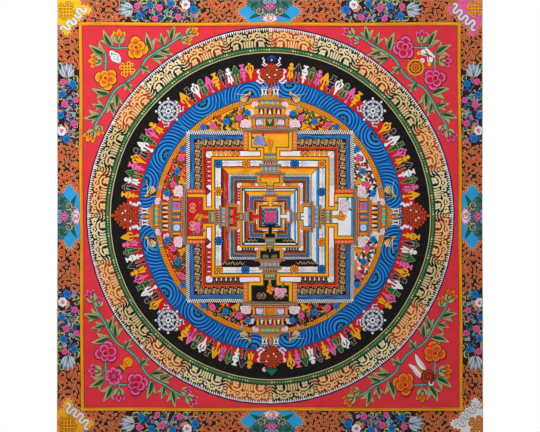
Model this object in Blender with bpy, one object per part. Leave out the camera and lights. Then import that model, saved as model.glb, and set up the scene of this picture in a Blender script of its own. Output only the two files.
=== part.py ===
"""Unmounted painted hanging: one near-square sheet of primed cotton canvas.

The sheet hangs by its top edge. X runs across it, Z runs up it, and its painted
face looks towards -Y. The origin is the middle of the top edge. Lengths are metres.
"""

import math

import bmesh
import bpy
from mathutils import Vector

# Driving dimensions
WIDTH = 0.500  # from edge to edge across the painted face
HEIGHT = 0.511  # from the top edge to the bottom edge
THICKNESS = 0.0012  # cotton, size, chalk ground and paint together
HELD_BAND = 0.018  # strip along the top edge that lies flat where the sheet is held

# How the sheet hangs: how far each form brings it forward of the held band
ROLL_BELLY = 0.0016  # broad curve across the sheet that is left from rolling it
SIDE_RIPPLE = 0.0009  # soft upright ripples of the cloth
CORNER_CURL = 0.0032  # how far the two lower corners lift
FOOT_CURL = 0.0014  # how far the whole bottom edge lifts

# The hand-cut outline
EDGE_WANDER = 0.0005  # how far the side and bottom edges wander from straight

COLUMNS = 20
ROWS_BELOW_BAND = 19

FIELD_RED = (0.61, 0.055, 0.075, 1.0)


def clear_scene():
    """Empty the scene of its objects."""
    for existing in list(bpy.data.objects):
        bpy.data.objects.remove(existing, do_unlink=True)


def forward(across, down):
    """Distance the sheet stands forward; across is -1 to 1, down is 0 at the band to 1."""
    settle = math.sin(0.5 * math.pi * min(1.0, down * 3.0))
    belly = ROLL_BELLY * 0.5 * (1.0 - math.cos(2.0 * math.pi * down * 1.2))
    ripple = SIDE_RIPPLE * 0.5 * (1.0 + math.sin(4.3 * across + 1.1 + 1.6 * down))
    corner = CORNER_CURL * down**4 * (0.85 + 0.15 * across) * abs(across) ** 3
    foot = FOOT_CURL * down**6
    return settle * (belly + ripple + corner + foot)


def side_wander(down):
    """How far the side edges wander outward at one height."""
    return EDGE_WANDER * math.sin(9.0 * down + 0.7) * math.sin(math.pi * down)


def foot_wander(across):
    """How far the bottom edge wanders down at one place across."""
    return EDGE_WANDER * 0.5 * math.sin(7.0 * across + 2.0) * (1.0 - across * across)


def row_heights():
    """Heights of the rows of points, from the top edge down."""
    below = HEIGHT - HELD_BAND
    steps = range(ROWS_BELOW_BAND + 1)
    return [0.0] + [-HELD_BAND - below * step / ROWS_BELOW_BAND for step in steps]


def sheet_points(side):
    """Rows of points on one face of the sheet; side is -1 for the front, 1 for the back."""
    rows = []
    for height in row_heights():
        down = max(0.0, (-height - HELD_BAND) / (HEIGHT - HELD_BAND))
        row = []
        for column in range(COLUMNS + 1):
            across = 2.0 * column / COLUMNS - 1.0
            x = across * (0.5 * WIDTH + side_wander(down))
            z = height + foot_wander(across) * down**8
            y = side * 0.5 * THICKNESS - forward(across, down)
            row.append(Vector((x, y, z)))
        rows.append(row)
    return rows


def outline(rows):
    """The vertices around a face's edge, in order."""
    top = rows[0]
    right = [row[-1] for row in rows[1:]]
    bottom = rows[-1][-2::-1]
    left = [row[0] for row in rows[-2:0:-1]]
    return top + right + bottom + left


def fill_face(mesh, rows, toward_front):
    """Quads between the rows of one face, turned to look outward."""
    for upper, lower in zip(rows, rows[1:]):
        for column in range(COLUMNS):
            quad = [upper[column], lower[column], lower[column + 1], upper[column + 1]]
            if not toward_front:
                quad.reverse()
            mesh.faces.new(quad)


def fill_rim(mesh, front, back):
    """The cut edge that joins the front face to the back face."""
    front_loop = outline(front)
    back_loop = outline(back)
    for index, corner in enumerate(front_loop):
        following = (index + 1) % len(front_loop)
        quad = [corner, front_loop[following], back_loop[following], back_loop[index]]
        mesh.faces.new(quad)


def canvas_mesh():
    """The closed sheet as a mesh."""
    mesh = bmesh.new()
    front = [[mesh.verts.new(point) for point in row] for row in sheet_points(-1)]
    back = [[mesh.verts.new(point) for point in row] for row in sheet_points(1)]
    fill_face(mesh, front, True)
    fill_face(mesh, back, False)
    fill_rim(mesh, front, back)
    bmesh.ops.triangulate(mesh, faces=mesh.faces[:])
    data = bpy.data.meshes.new("painted_canvas")
    mesh.to_mesh(data)
    mesh.free()
    return data


def painted_cotton():
    """Matte mineral paint on primed cotton."""
    material = bpy.data.materials.new("painted_cotton")
    material.use_nodes = True
    shader = material.node_tree.nodes["Principled BSDF"]
    shader.inputs["Base Color"].default_value = FIELD_RED
    shader.inputs["Roughness"].default_value = 0.85
    shader.inputs["Metallic"].default_value = 0.0
    return material


def painted_canvas():
    """The one piece of the hanging."""
    data = canvas_mesh()
    data.materials.append(painted_cotton())
    canvas = bpy.data.objects.new("painted_canvas", data)
    bpy.context.scene.collection.objects.link(canvas)
    return canvas


def main():
    """Build the hanging."""
    clear_scene()
    painted_canvas()


main()
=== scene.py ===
"""Paints the hanging canvas: a round palace diagram in its red square, inside a floral border.

The canvas is one sheet of primed cotton. The painting on it is laid as thin coats of mesh, in
the order in which a painter works: grounds first, then shapes, then outlines and lights.
Picture places are complex numbers in millimetres from the middle of the round, x to the
viewer's right and y up, as the upright picture has them. Angles are in degrees.
"""

import cmath
import math
import random

import bpy
import numpy as np
from bpy.props import FloatProperty, FloatVectorProperty, PointerProperty
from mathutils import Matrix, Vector


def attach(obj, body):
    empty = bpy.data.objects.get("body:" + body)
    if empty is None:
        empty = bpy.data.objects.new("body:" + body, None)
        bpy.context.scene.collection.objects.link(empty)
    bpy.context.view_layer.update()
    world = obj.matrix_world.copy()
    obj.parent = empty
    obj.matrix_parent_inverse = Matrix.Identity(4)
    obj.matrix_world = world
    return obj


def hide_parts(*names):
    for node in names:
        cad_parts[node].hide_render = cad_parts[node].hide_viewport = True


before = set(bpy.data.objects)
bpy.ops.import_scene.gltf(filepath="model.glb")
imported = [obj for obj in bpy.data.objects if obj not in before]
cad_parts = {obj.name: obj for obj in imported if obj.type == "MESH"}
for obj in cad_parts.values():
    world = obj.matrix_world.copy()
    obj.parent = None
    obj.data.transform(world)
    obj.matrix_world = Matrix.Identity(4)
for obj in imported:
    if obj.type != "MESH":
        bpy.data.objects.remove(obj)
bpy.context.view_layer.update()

bl_info = {
    "name": "Painted round palace hanging",
    "version": (1, 0, 0),
    "blender": (4, 5, 0),
    "location": "3D View > Sidebar > Hanging",
    "description": "Paints a hanging canvas with a round palace diagram and a floral border",
    "category": "Add Mesh",
}

MM = 0.001

# How the sheet hangs, as its solid does: flat where it is held, and how far each form
# brings it forward below that, in metres
HELD_BAND = 0.018
ROLL_BELLY = 0.0016
SIDE_RIPPLE = 0.0009
CORNER_CURL = 0.0032
FOOT_CURL = 0.0014
EDGE_WANDER = 0.0005

# The picture on the sheet, in millimetres: how far the round's middle lies from the
# sheet's, how much taller than wide it is drawn, and the primed cotton left bare round it
PICTURE_AT = 0.6 + 1.2j
TALLER = 1.024
BARE_EDGE = 0.7

# The square field in the frame line, the border round it, and their own middle and width
FIELD_HALF = 218.9
BORDER_IN = 222.6
BORDER_OUT = 252.0
BORDER_AT = 0.4 - 0.9j
BORDER_WIDER = 1.0068
BORDER_LEAN = 0.0052

# Radii of the round's rings, from the outside in
RING_OUTLINE = 216.6
SCROLL_OUT = 214.9
SCROLL_IN = 194.0
GREEN_IN = 188.3
CREAM_IN = 187.4
BLACK_IN = 169.5
RED_IN = 155.2
WATER_IN = 136.4
ROPE_IN = 131.4
GROUND_OUT = 130.0

# The nested palaces: half width of each, and where its bands start as shares of that, from
# the outside in: jewels, blue, scrolls, rail, offerings, red line, wall, green line,
# rosettes, floor, and where the floor ends
PALACE_AT = -0.35 - 1.05j
PALACES = (
    (98.8, (1, 0.951, 0.902, 0.812, 0.763, 0.704, 0.691, 0.660, 0.648, 0.578, 0.497)),
    (48.9, (1, 0.934, 0.893, 0.844, 0.797, 0.726, 0.700, 0.674, 0.650, 0.612, 0.503)),
    (24.5, (1, 0.952, 0.848, 0.772, 0.680, 0.622, 0.590, 0.530, 0.495, 0.494, 0.380)),
)


# ---------------------------------------------------------------- sizes and colours


def linear(hex_colour):
    """An sRGB hex value as linear red, green and blue."""
    parts = [int(hex_colour[i : i + 2], 16) / 255 for i in (1, 3, 5)]
    return tuple(c / 12.92 if c <= 0.04045 else ((c + 0.055) / 1.055) ** 2.4 for c in parts)


def length(name, default, description):
    """A size that a user can change, in metres."""
    return FloatProperty(
        name=name, description=description, default=default, min=0, unit="LENGTH", precision=5
    )


def pigment(name, hex_colour, description):
    """A colour of paint that a user can change."""
    return FloatVectorProperty(
        name=name, description=description, subtype="COLOR", min=0, max=1,
        default=linear(hex_colour),
    )


class HangingSizes(bpy.types.PropertyGroup):
    """Sizes of the sheet and of its paint"""

    width: length("Width", 0.5, "Sheet from side to side")
    height: length("Height", 0.511, "Sheet from top to bottom")
    thickness: length("Thickness", 0.0012, "Cotton with its chalk ground")
    coat: length("Coat", 0.00005, "Thickness of one coat of paint")
    thread: length("Thread spacing", 0.0011, "From one thread of the cotton to the next")
    hand: length("Hand", 0.0003, "How far lines drawn by hand wander")


class HangingPigments(bpy.types.PropertyGroup):
    """Colours of the paints"""

    crimson: pigment("Crimson", "#E63543", "Field behind the round")
    saffron: pigment("Saffron", "#FBAE1E", "Frame line, walls and lights")
    yellow: pigment("Yellow", "#FCC81E", "Corner patches")
    umber: pigment("Umber", "#351614", "Ground of the border, dark outlines")
    vermilion: pigment("Vermilion", "#D64F1E", "Scrolls of the border, the red roundels")
    buff: pigment("Buff", "#E0C48C", "Edges of the border's scrolls and leaves")
    cream: pigment("Cream", "#F1DCA0", "Scrolls of the outer ring")
    apricot: pigment("Apricot", "#FAC17C", "Warmer scrolls of the outer ring")
    chalk: pigment("Chalk white", "#F2F0EE", "Whites")
    navy: pigment("Indigo", "#16183C", "Outlines and dark blues")
    black: pigment("Lamp black", "#0D0B0C", "Black ring and floor")
    scarlet: pigment("Scarlet", "#CE1522", "Inner red ring and red walls")
    maroon: pigment("Maroon", "#6E1A1A", "Dark reds")
    rust: pigment("Rust", "#A23C1A", "Reddish browns")
    orange: pigment("Orange", "#F2821F", "Petals, posts and roofs")
    minium: pigment("Red lead", "#EC501D", "Hot orange")
    ochre: pigment("Ochre", "#D48A26", "Golden browns")
    tan: pigment("Tan", "#C4A070", "Fine scrolls on brown")
    taupe: pigment("Taupe", "#937A66", "Roof planks")
    water: pigment("Water blue", "#0E62B4", "Ring of water")
    ripple: pigment("Ripple blue", "#2E9BE2", "Light lines on the water")
    deep: pigment("Deep blue", "#13266E", "Dark lines on the water")
    azure: pigment("Azure", "#3069AC", "Blue walls")
    sky: pigment("Sky blue", "#36A4E0", "Patches of sky")
    bluet: pigment("Flower blue", "#2186DB", "Blue flowers")
    pink: pigment("Pink", "#EC66A6", "Pink flowers")
    blush: pigment("Blush", "#F3C3D2", "Pale pinks")
    rose: pigment("Rose", "#CC1F4E", "Hearts of pink flowers")
    mauve: pigment("Mauve", "#B383AE", "Violet flowers of the border")
    malachite: pigment("Malachite", "#0B5A36", "Green ring and leaves")
    olive: pigment("Olive", "#BBA975", "Pale leaves")
    teal: pigment("Teal", "#3F9C82", "Stems")
    jade: pigment("Jade", "#96D8C0", "Lights on stems")
    mint: pigment("Mint", "#4CC498", "Small green panels")
    feather: pigment("Feather grey", "#AEB8C6", "Plumes and silver wheels")
    slate: pigment("Slate", "#5C6B86", "Shades of grey and blue")


# Grain of the paints in millimetres and their roughness. Blues and greens are ground stones
# that stay coarse and matte; the other paints grind finer and lie a little closer.
STONE = (0.9, 0.9)
FINE = (0.45, 0.84)
STONE_COLOURS = ("water", "ripple", "deep", "azure", "sky", "bluet", "malachite", "mint", "teal",
                 "jade")


def sizes():
    """The sizes set in the sidebar."""
    return bpy.context.scene.hanging_sizes


def pigments():
    """The colours set in the sidebar."""
    return bpy.context.scene.hanging_pigments


# ---------------------------------------------------------------- the hanging surface


def forward(x, z):
    """How far the sheet stands forward of its held band, in metres, at world places."""
    across = x / (sizes().width / 2)
    down = np.clip((-z - HELD_BAND) / (sizes().height - HELD_BAND), 0, 1)
    settle = np.sin(0.5 * math.pi * np.minimum(1, 3 * down))
    belly = ROLL_BELLY * 0.5 * (1 - np.cos(2 * math.pi * 1.2 * down))
    ripple = SIDE_RIPPLE * 0.5 * (1 + np.sin(4.3 * across + 1.1 + 1.6 * down))
    corner = CORNER_CURL * down**4 * (0.85 + 0.15 * across) * abs(across) ** 3
    return settle * (belly + ripple + corner + FOOT_CURL * down**6)


def wander(places):
    """How far a hand-drawn line strays at each picture place, in millimetres."""
    x, y = places.real, places.imag
    long_way = np.sin(x / 13 + y / 29 + 1) + 1j * np.sin(y / 12 - x / 31 + 2)
    short_way = np.sin(y / 2.9 + x / 7.1) + 1j * np.sin(x / 3.1 - y / 6.7 + 3)
    return sizes().hand / MM * (long_way + 0.35 * short_way)


def on_canvas(places, lifts):
    """World points of picture places, each lifted by a number of coats."""
    half = complex(sizes().width / 2, sizes().height / 2) / MM
    drawn = places + wander(places) + PICTURE_AT.real
    x = np.clip(drawn.real, BARE_EDGE - half.real, half.real - BARE_EDGE)
    y = TALLER * drawn.imag + PICTURE_AT.imag
    y = np.clip(y, BARE_EDGE - half.imag, half.imag - BARE_EDGE)
    x, z = x * MM, (y - half.imag) * MM
    front = -sizes().thickness / 2 - forward(x, z) - (lifts + 1) * sizes().coat
    return np.stack([x, front, z], 1)


# ---------------------------------------------------------------- lines and outlines


def turned(angle):
    """A turn through an angle."""
    return cmath.exp(1j * math.radians(angle))


def spread(numbers):
    """Places from a run of x and y."""
    return [complex(x, y) for x, y in zip(numbers[::2], numbers[1::2])]


def arc(centre, radius, start, sweep, count=12):
    """Places along part of a circle."""
    return [centre + radius * turned(start + sweep * i / count) for i in range(count + 1)]


def circle(centre, radius, count=12):
    """Places round a circle, without the first one again."""
    return arc(centre, radius, 0, 360, count)[:-1]


def spaced(half, count):
    """The middles of equal parts from -half to half."""
    return [half * (2 * (i + 0.5) / count - 1) for i in range(count)]


def coil(centre, radius, start, turns, count=14, end=0.28):
    """A spiral that winds in to a share of its radius; turns may be negative."""
    steps = [i / count for i in range(count + 1)]
    return [
        centre + radius * (1 - (1 - end) * s) * turned(start + 360 * turns * s) for s in steps
    ]


def lens(length, width, bend=0.0, count=6, lean=1.0):
    """Outline of a pointed leaf that lies along +x from 0; bend lifts its middle, and a lean
    below 1 makes it widest nearer its foot."""
    steps = [i / count for i in range(count + 1)]
    spine = [complex(length * s, bend * math.sin(math.pi * s)) for s in steps]
    swell = [0.5j * width * max(0, math.sin(math.pi * s**lean)) ** 0.8 for s in steps]
    upper = [p + w for p, w in zip(spine, swell)]
    return [p - w for p, w in zip(spine, swell)] + upper[-2:0:-1]


def smooth_path(places, steps=5):
    """A curve through given places."""
    ends = [2 * places[0] - places[1], *places, 2 * places[-1] - places[-2]]
    path = []
    for a, b, c, d in zip(ends, ends[1:], ends[2:], ends[3:]):
        for s in (i / steps for i in range(steps)):
            bow = (2 * a - 5 * b + 4 * c - d) * s**2 + (3 * b - a - 3 * c + d) * s**3
            path.append(0.5 * (2 * b + (c - a) * s + bow))
    return [*path, places[-1]]


# How the width of a stroke runs from its start, 0, to its end, 1
STROKES = {
    "line": lambda share: 1.0,
    "taper": lambda share: 1.0 - 0.8 * share,
    "swell": lambda share: 0.25 + 0.75 * math.sin(math.pi * share),
    "bow": lambda share: 0.6 + 0.4 * math.sin(math.pi * share),
}


# ---------------------------------------------------------------- coats and brushes


class Coat:
    """Shapes of paint that become one piece, each with its pigment and its lift."""

    def __init__(self, name):
        self.name = name
        self.shapes = []

    def lay_down(self):
        """Make the coat's mesh on the canvas, low shapes first, and let it ride. Strokes of one
        lift that cross lie a hair apart."""
        self.shapes.sort(key=lambda shape: shape[0])
        paints = sorted({shape[1] for shape in self.shapes})
        places, lifts, faces, slots = [], [], [], []
        for order, (lift, paint, points, corners) in enumerate(self.shapes):
            first = len(places)
            places += points
            lifts += [lift + 0.02 * (order % 16)] * len(points)
            faces += [[first + i for i in face] for face in corners]
            slots += [paints.index(paint)] * len(corners)
        mesh = bpy.data.meshes.new(self.name)
        mesh.from_pydata(on_canvas(np.array(places), np.array(lifts)).tolist(), [], faces)
        mesh.polygons.foreach_set("material_index", slots)
        face_outward(mesh)
        lay_map(mesh)
        for paint in paints:
            mesh.materials.append(distemper(paint))
        piece = bpy.data.objects.new(self.name, mesh)
        bpy.context.scene.collection.objects.link(piece)
        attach(piece, "root")
        return piece


def face_outward(mesh):
    """Turn over the faces that look into the canvas."""
    normals = np.empty(3 * len(mesh.polygons), np.float32)
    mesh.polygons.foreach_get("normal", normals)
    for index in np.flatnonzero(normals[1::3] > 0).tolist():
        mesh.polygons[index].flip()


def lay_map(mesh):
    """A flat map of the picture, so that a baked colour keeps the painting's own sharpness."""
    places = np.empty(3 * len(mesh.vertices), np.float32)
    mesh.vertices.foreach_get("co", places)
    corners = np.empty(len(mesh.loops), np.int32)
    mesh.loops.foreach_get("vertex_index", corners)
    x, _, z = places.reshape(-1, 3)[corners].T
    flat = np.stack([x / sizes().width + 0.5, z / sizes().height + 1], 1)
    layer = mesh.uv_layers.new(name="OFBake")
    layer.uv.foreach_set("vector", flat.astype(np.float32).ravel())


class Brush:
    """Draws on a coat in its own place, turn and size."""

    def __init__(self, coat, place=lambda point: point, lift=0):
        self.coat = coat
        self.place = place
        self.lift = lift

    def at(self, where=0, turn=0, size=1.0, flip=False, lift=0):
        """A brush at another place; flip mirrors its left and right."""
        outer, scale = self.place, size * turned(turn)

        def place(point):
            return outer(where + (-scale * point.conjugate() if flip else scale * point))

        return Brush(self.coat, place, self.lift + lift)

    def bent(self, radius, angle):
        """A brush on a ring: x runs clockwise from an angle, y outward from a radius."""
        outer, start = self.place, math.radians(angle)

        def place(point):
            return outer((radius + point.imag) * cmath.exp(1j * (start - point.real / radius)))

        return Brush(self.coat, place, self.lift)

    def sides(self):
        """A brush for each side, top, right, bottom and left, with y outward."""
        return [self.at(turn=-90 * i) for i in range(4)]

    def hands(self):
        """A brush for the right half and a mirrored one for the left."""
        return self.at(), self.at(flip=True)

    def fill(self, outline, paint, lift=0):
        """A small flat shape."""
        points = [self.place(point) for point in outline]
        self.coat.shapes.append((self.lift + lift, paint, points, [range(len(points))]))

    def grid(self, rows, paint, lift=0):
        """A strip or patch between rows of places, four corners to a face."""
        wide = len(rows[0])
        points = [self.place(point) for row in rows for point in row]
        starts = [row * wide + i for row in range(len(rows) - 1) for i in range(wide - 1)]
        corners = [(s, s + 1, s + wide + 1, s + wide) for s in starts]
        self.coat.shapes.append((self.lift + lift, paint, points, corners))

    def stroke(self, path, width, paint, lift=0, shape="line"):
        """A brush stroke along a path."""
        last = len(path) - 1
        edges = []
        for i, point in enumerate(path):
            along = path[min(i + 1, last)] - path[max(i - 1, 0)]
            across = 0.5j * width * STROKES[shape](i / last) * along / (abs(along) or 1)
            edges.append((point + across, point - across))
        self.grid(list(zip(*edges)), paint, lift)

    def loop(self, path, width, paint, lift=0):
        """A stroke that closes on itself."""
        edges = []
        for before, point, after in zip([path[-1], *path], path, [*path[1:], path[0]]):
            along = after - before
            across = 0.5j * width * along / (abs(along) or 1)
            edges.append((point + across, point - across))
        self.grid(list(zip(*edges, edges[0])), paint, lift)

    def disc(self, centre, radius, paint, lift=0, count=10):
        """A round spot."""
        self.fill(circle(centre, radius, count), paint, lift)

    def discs(self, centre, radii, paints, lift=0, count=10):
        """Round spots one on another, each a coat above the last."""
        for step, (radius, paint) in enumerate(zip(radii, paints)):
            self.disc(centre, radius, paint, lift + step, count)

    def box(self, left, right, low, high, paint, lift=0, cell=12.0):
        """A rectangle in cells small enough to follow the sheet."""
        across = max(1, math.ceil(abs(right - left) / cell))
        up = max(1, math.ceil(abs(high - low) / cell))
        xs = [left + (right - left) * i / across for i in range(across + 1)]
        ys = [low + (high - low) * i / up for i in range(up + 1)]
        self.grid([[complex(x, y) for x in xs] for y in ys], paint, lift)

    def annulus(self, inner, outer, paint, lift=0):
        """A ring round the brush's own middle."""
        around = max(24, math.ceil(outer * 0.9))
        across = max(1, math.ceil((outer - inner) / 12))
        radii = [inner + (outer - inner) * i / across for i in range(across + 1)]
        self.grid([arc(0, radius, 0, 360, around) for radius in radii], paint, lift)

    def mitred(self, outer, inner, paint, lift=0):
        """One side of a square band, mitred at the corners, y outward."""
        count = max(2, math.ceil(outer / 5))
        steps = [2 * i / count - 1 for i in range(count + 1)]
        self.grid([[complex(half * s, half) for s in steps] for half in (inner, outer)], paint,
                  lift)

    def square(self, outer, inner, paint, lift=0):
        """A band right round a square."""
        for side in self.sides():
            side.mitred(outer, inner, paint, lift)

    def mark(self, kind, paint, lift, rim, numbers):
        """One mark of a table, grown all round by a rim."""
        if kind == "disc":  # x, y, radius
            self.disc(complex(*numbers[:2]), numbers[2] + rim, paint, lift)
        elif kind == "box":  # left, right, low, high
            left, right, low, high = numbers
            self.box(left - rim, right + rim, low - rim, high + rim, paint, lift)
        elif kind == "blade":  # x, y, angle, length, width, bend
            x, y, angle, reach, width, bend = numbers
            tip = self.at(complex(x, y) - 1.2 * rim * turned(angle), angle)
            tip.fill(lens(reach + 2.4 * rim, width + 2 * rim, bend, 8, 0.7), paint, lift)
        elif kind == "coil":  # x, y, radius, start, turns, width
            x, y, radius, start, turns, width = numbers
            self.stroke(coil(complex(x, y), radius, start, turns), width + 2 * rim, paint, lift)
        elif kind == "shape":  # x and y of its corners
            if rim:
                self.loop(spread(numbers), 2 * rim, paint, lift)
            else:
                self.fill(spread(numbers), paint, lift)
        else:  # a stroke: its width, then x and y of places along it
            path = spread(numbers[1:])
            path = smooth_path(path) if len(path) > 2 else path
            self.stroke(path, numbers[0] + 2 * rim, paint, lift, kind)

    def marks(self, table, edge=None, grow=0.35, lift=0, **tones):
        """A motif from a table of rows: kind, paint, step, and the numbers of each mark. Marks of
        even steps have an edge of another paint; those of odd steps are details on the step
        before."""
        for kind, paint, step, *row in table:
            height = lift + 3 * step // 2
            for numbers in row:
                if edge and step % 2 == 0:
                    self.mark(kind, edge, height, grow, numbers)
                self.mark(kind, tones.get(paint, paint), height + 1, 0, numbers)


# ---------------------------------------------------------------- ordinary motifs

# Petals, rims and hearts of the blue and of the pink flowers
BLOOM_PAINTS = (("bluet", "navy", "navy"), ("pink", "maroon", "rose"))

# Tables of marks in millimetres, as Brush.marks takes them
LEAF_TUFT = (
    ("blade", "olive", 0, (0, 0, 36, 14.6, 4.9, -1.6), (0, 0, -36, 14.6, 4.9, 1.6)),
    ("taper", "ochre", 1, (0.6, 1.2, 0.8, 5, 3.0, 9, 5.8), (0.6, 1.2, -0.8, 5, -3.0, 9, -5.8)),
    ("blade", "olive", 2, (0, 0, 0, 19.8, 6.2, 1.0)),
    ("blade", "malachite", 3, (0.6, 0.4, 2, 15.0, 3.9, 0.8)),
    ("taper", "navy", 5, (0.6, 1, 0.2, 5, 0.6, 10, 0.8)),
)
FLOWER_BUD = (
    ("blade", "rim", 0, (7.0, 2.4, 34, 7.6, 5.2, 0.6), (7.0, -2.4, -34, 7.6, 5.2, -0.6)),
    ("blade", "glow", 1, (7.6, 2.8, 34, 4.6, 3.0, 0.4), (7.6, -2.8, -34, 4.6, 3.0, -0.4)),
    ("blade", "rim", 2, (7.2, 0, 0, 8.8, 6.2, 0)),
    ("blade", "petal", 3, (7.4, 0, 0, 6.4, 4.0, 0)),
    ("disc", "glow", 5, (10.0, 0, 1.2)),
    ("blade", "olive", 4, (0.4, 0, 38, 9.6, 4.6, 0.8), (0.4, 0, -38, 9.6, 4.6, -0.8),
     (0, 0, 0, 8.8, 4.4, 0)),
    ("blade", "malachite", 5, (1, 0, 30, 6.6, 1.6, 0.4), (1, 0, -14, 6.0, 1.4, 0)),
)
SHELL = (
    ("disc", "chalk", 0, (-1, 1.5, 5.2), (-3.4, 5.6, 3.4), (-5, 8, 1.4)),
    ("blade", "chalk", 0, (-2.5, 1.5, -52, 10.0, 8.4, 1.2)),
    ("disc", "black", 1, (-4.2, 6.0, 0.8), (1.6, -1.8, 0.8)),
    ("coil", "slate", 1, (-1, 1.5, 3.7, 120, -1.2, 0.6)),
    ("swell", "blush", 1, (1.8, 0.2, -1, 2.4, -4.2, 3.2, -6.4)),
    ("line", "slate", 1, (0.5, -5, 4, -1.6, 6.8)),
)
VASE = (
    ("blade", "malachite", 0, (0, 5.6, 90, 5.2, 2.6, 0), (0, 5.6, 138, 4.6, 2.2, 0),
     (0, 5.6, 42, 4.6, 2.2, 0)),
    ("disc", "orange", 2, (0, -1.2, 4.6)),
    ("box", "orange", 2, (-1.4, 1.4, 3, 5.0)),
    ("line", "saffron", 2, (1.3, -2.8, 5.2, 2.8, 5.2)),
    ("swell", "saffron", 3, (0.9, -1.0, 2.8, -3.0, -1.0, -1.2, -5.0),
     (0.9, 0, 2.8, 0, -1.4, 0, -5.2), (0.9, 1.0, 2.8, 3.0, -1.0, 1.2, -5.0)),
    ("line", "rust", 3, (0.6, -3.6, 1.2, 3.6, 1.2)),
)
CROSSED_LEAVES = (
    ("blade", "chalk", 0, (-7, -3, 28, 15, 5.4, 1.6), (7, -3, 152, 15, 5.4, -1.6)),
    ("disc", "saffron", 2, (-6.4, -3.6, 1.8), (6.4, -3.6, 1.8)),
    ("swell", "rust", 1, (1.5, -4, -1.6, 1, 1.4, 5, 2.6), (1.5, 4, -1.6, -1, 1.4, -5, 2.6)),
    ("blade", "chalk", 0, (0, -3.4, -90, 5.6, 4.0, 0)),
)
# Two silk streamers and a gold stem over a round red basket
BASKET = (
    ("blade", "chalk", 0, (-3.6, -7, -101, 23, 6.4, 1.6), (6.2, -5, -90, 22, 6.2, -1.4)),
    ("taper", "pink", 1, (0.7, -4, -9, -6, -18, -9, -27), (0.7, -5.6, -10, -4.6, -18, -6.4, -25),
     (0.7, 6.4, -8, 6.2, -16, 5.6, -24), (0.7, 7.6, -8, 9, -14, 6.6, -20)),
    ("line", "orange", 2, (2.0, 1.4, -19, 1.4, -5)),
    ("disc", "rust", 2, (0, 0, 8.6), (-5, 4.6, 3.0)),
    ("coil", "maroon", 3, (0, 0, 6.6, 30, 1.3, 1.5)),
    ("bow", "maroon", 3, (1.4, -7, -1, -5, 5, 1, 7.6), (1.3, 6.6, -3, 3, -7.2, -3, -7)),
    ("disc", "vermilion", 3, (3.6, 2.8, 1.2), (-2.6, -3.4, 1.2)),
    ("swell", "chalk", 4, (1.7, -1.6, 7.6, 2.4, 9.8, 4.4, 6.2, 1.8, 4.6)),
)
# Small hung jewels, head up: a lotus bud, a vase, paired leaves, and a tassel
PENDANTS = (
    (
        ("blade", "body", 0, (0, 0.4, 90, 9.4, 5.4, 0)),
        ("swell", "body", 0, (2.2, 0.2, 0.6, 2.8, 2.8, 3.6, -0.4, 2.4, -3.2),
         (2.2, -0.2, 0.6, -2.8, 2.8, -3.6, -0.4, -2.4, -3.2)),
        ("line", "body", 0, (1.7, 0, 1, 0, -6.6)),
        ("disc", "body", 0, (0, -7.6, 1.9)),
        ("swell", "line", 1, (0.7, 0, 2, 0, 8)),
    ),
    (
        ("line", "body", 0, (1.6, -2.7, 8.6, 2.7, 8.6)),
        ("box", "body", 0, (-1.2, 1.2, 4.6, 8.2)),
        ("disc", "body", 0, (0, 2.2, 3.7)),
        ("shape", "body", 0, (-1.3, -1, 1.3, -1, 3.1, -4.4, -3.1, -4.4)),
        ("blade", "body", 0, (0, -4.2, -90, 5.4, 2.6, 0)),
        ("line", "line", 1, (0.6, -2.8, 2.4, 2.8, 2.4)),
    ),
    (
        ("disc", "body", 0, (0, 8.4, 1.3)),
        ("taper", "body", 0, (2.9, 0.6, 6, 3.2, 5.4, 3.0, 1.6, 0.6, -2.6),
         (2.9, -0.6, 6, -3.2, 5.4, -3.0, 1.6, -0.6, -2.6)),
        ("blade", "body", 0, (0, 5, -90, 13.6, 3.2, 0)),
        ("disc", "line", 1, (1.9, 5.0, 0.55), (-1.9, 5.0, 0.55)),
    ),
    (
        ("disc", "body", 0, (0, 7.4, 2.2)),
        ("line", "body", 0, (1.9, -3.2, 4.2, 3.2, 4.2)),
        ("shape", "body", 0,
         (-1.5, 4, 1.5, 4, 3.6, -6.4, 1.3, -5.2, 0, -8.6, -1.3, -5.2, -3.6, -6.4)),
        ("line", "line", 1, (0.6, 0, 2, 0, -5), (0.6, -2, 1, 2, 1)),
    ),
)


def blossom(brush, radius, petal, rim, heart, lift=0):
    """A small full flower of six petals with dark veins and a ring round its heart."""
    rays = [turned(90 + 60 * i) for i in range(6)]
    for ray in rays:
        brush.discs(0.56 * radius * ray, (0.49 * radius, 0.41 * radius), (rim, petal), lift, 9)
        brush.stroke([0.28 * radius * ray, 0.8 * radius * ray], 0.24 * radius, heart, lift + 3,
                     "taper")
    brush.disc(0, 0.42 * radius, rim, lift + 2, 9)
    brush.disc(0, 0.33 * radius, petal, lift + 3, 8)
    brush.disc(0, 0.17 * radius, heart, lift + 4, 7)


def peony(brush, radius, petal, glow, rim, lift=0):
    """A full flower of round petals, back ones first, each with a pale rim and a warm foot."""
    cups = ((0.60, 105, 0.46), (0.64, 218, 0.47), (0.64, 330, 0.43), (0.58, 282, 0.42),
            (0.44, 176, 0.40), (0.46, 40, 0.34), (0.10, 70, 0.31))
    for index, (out, angle, size) in enumerate(cups):
        step = lift + 2 * index
        cup = brush.at(out * radius * turned(angle), angle - 90, size * radius)
        wide = [p * (1.04 - 0.1 * p.imag) for p in circle(0, 1, 14)]
        for grow, paint in ((1.13, "maroon"), (1.0, rim), (0.7, petal), (0.42, glow)):
            cup.fill([grow * p - 0.55j * (1 - grow) for p in wide], paint, step)
            step += 1
    brush.disc(0.12 * radius * turned(70), 0.1 * radius, "maroon", lift + 17)


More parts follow.
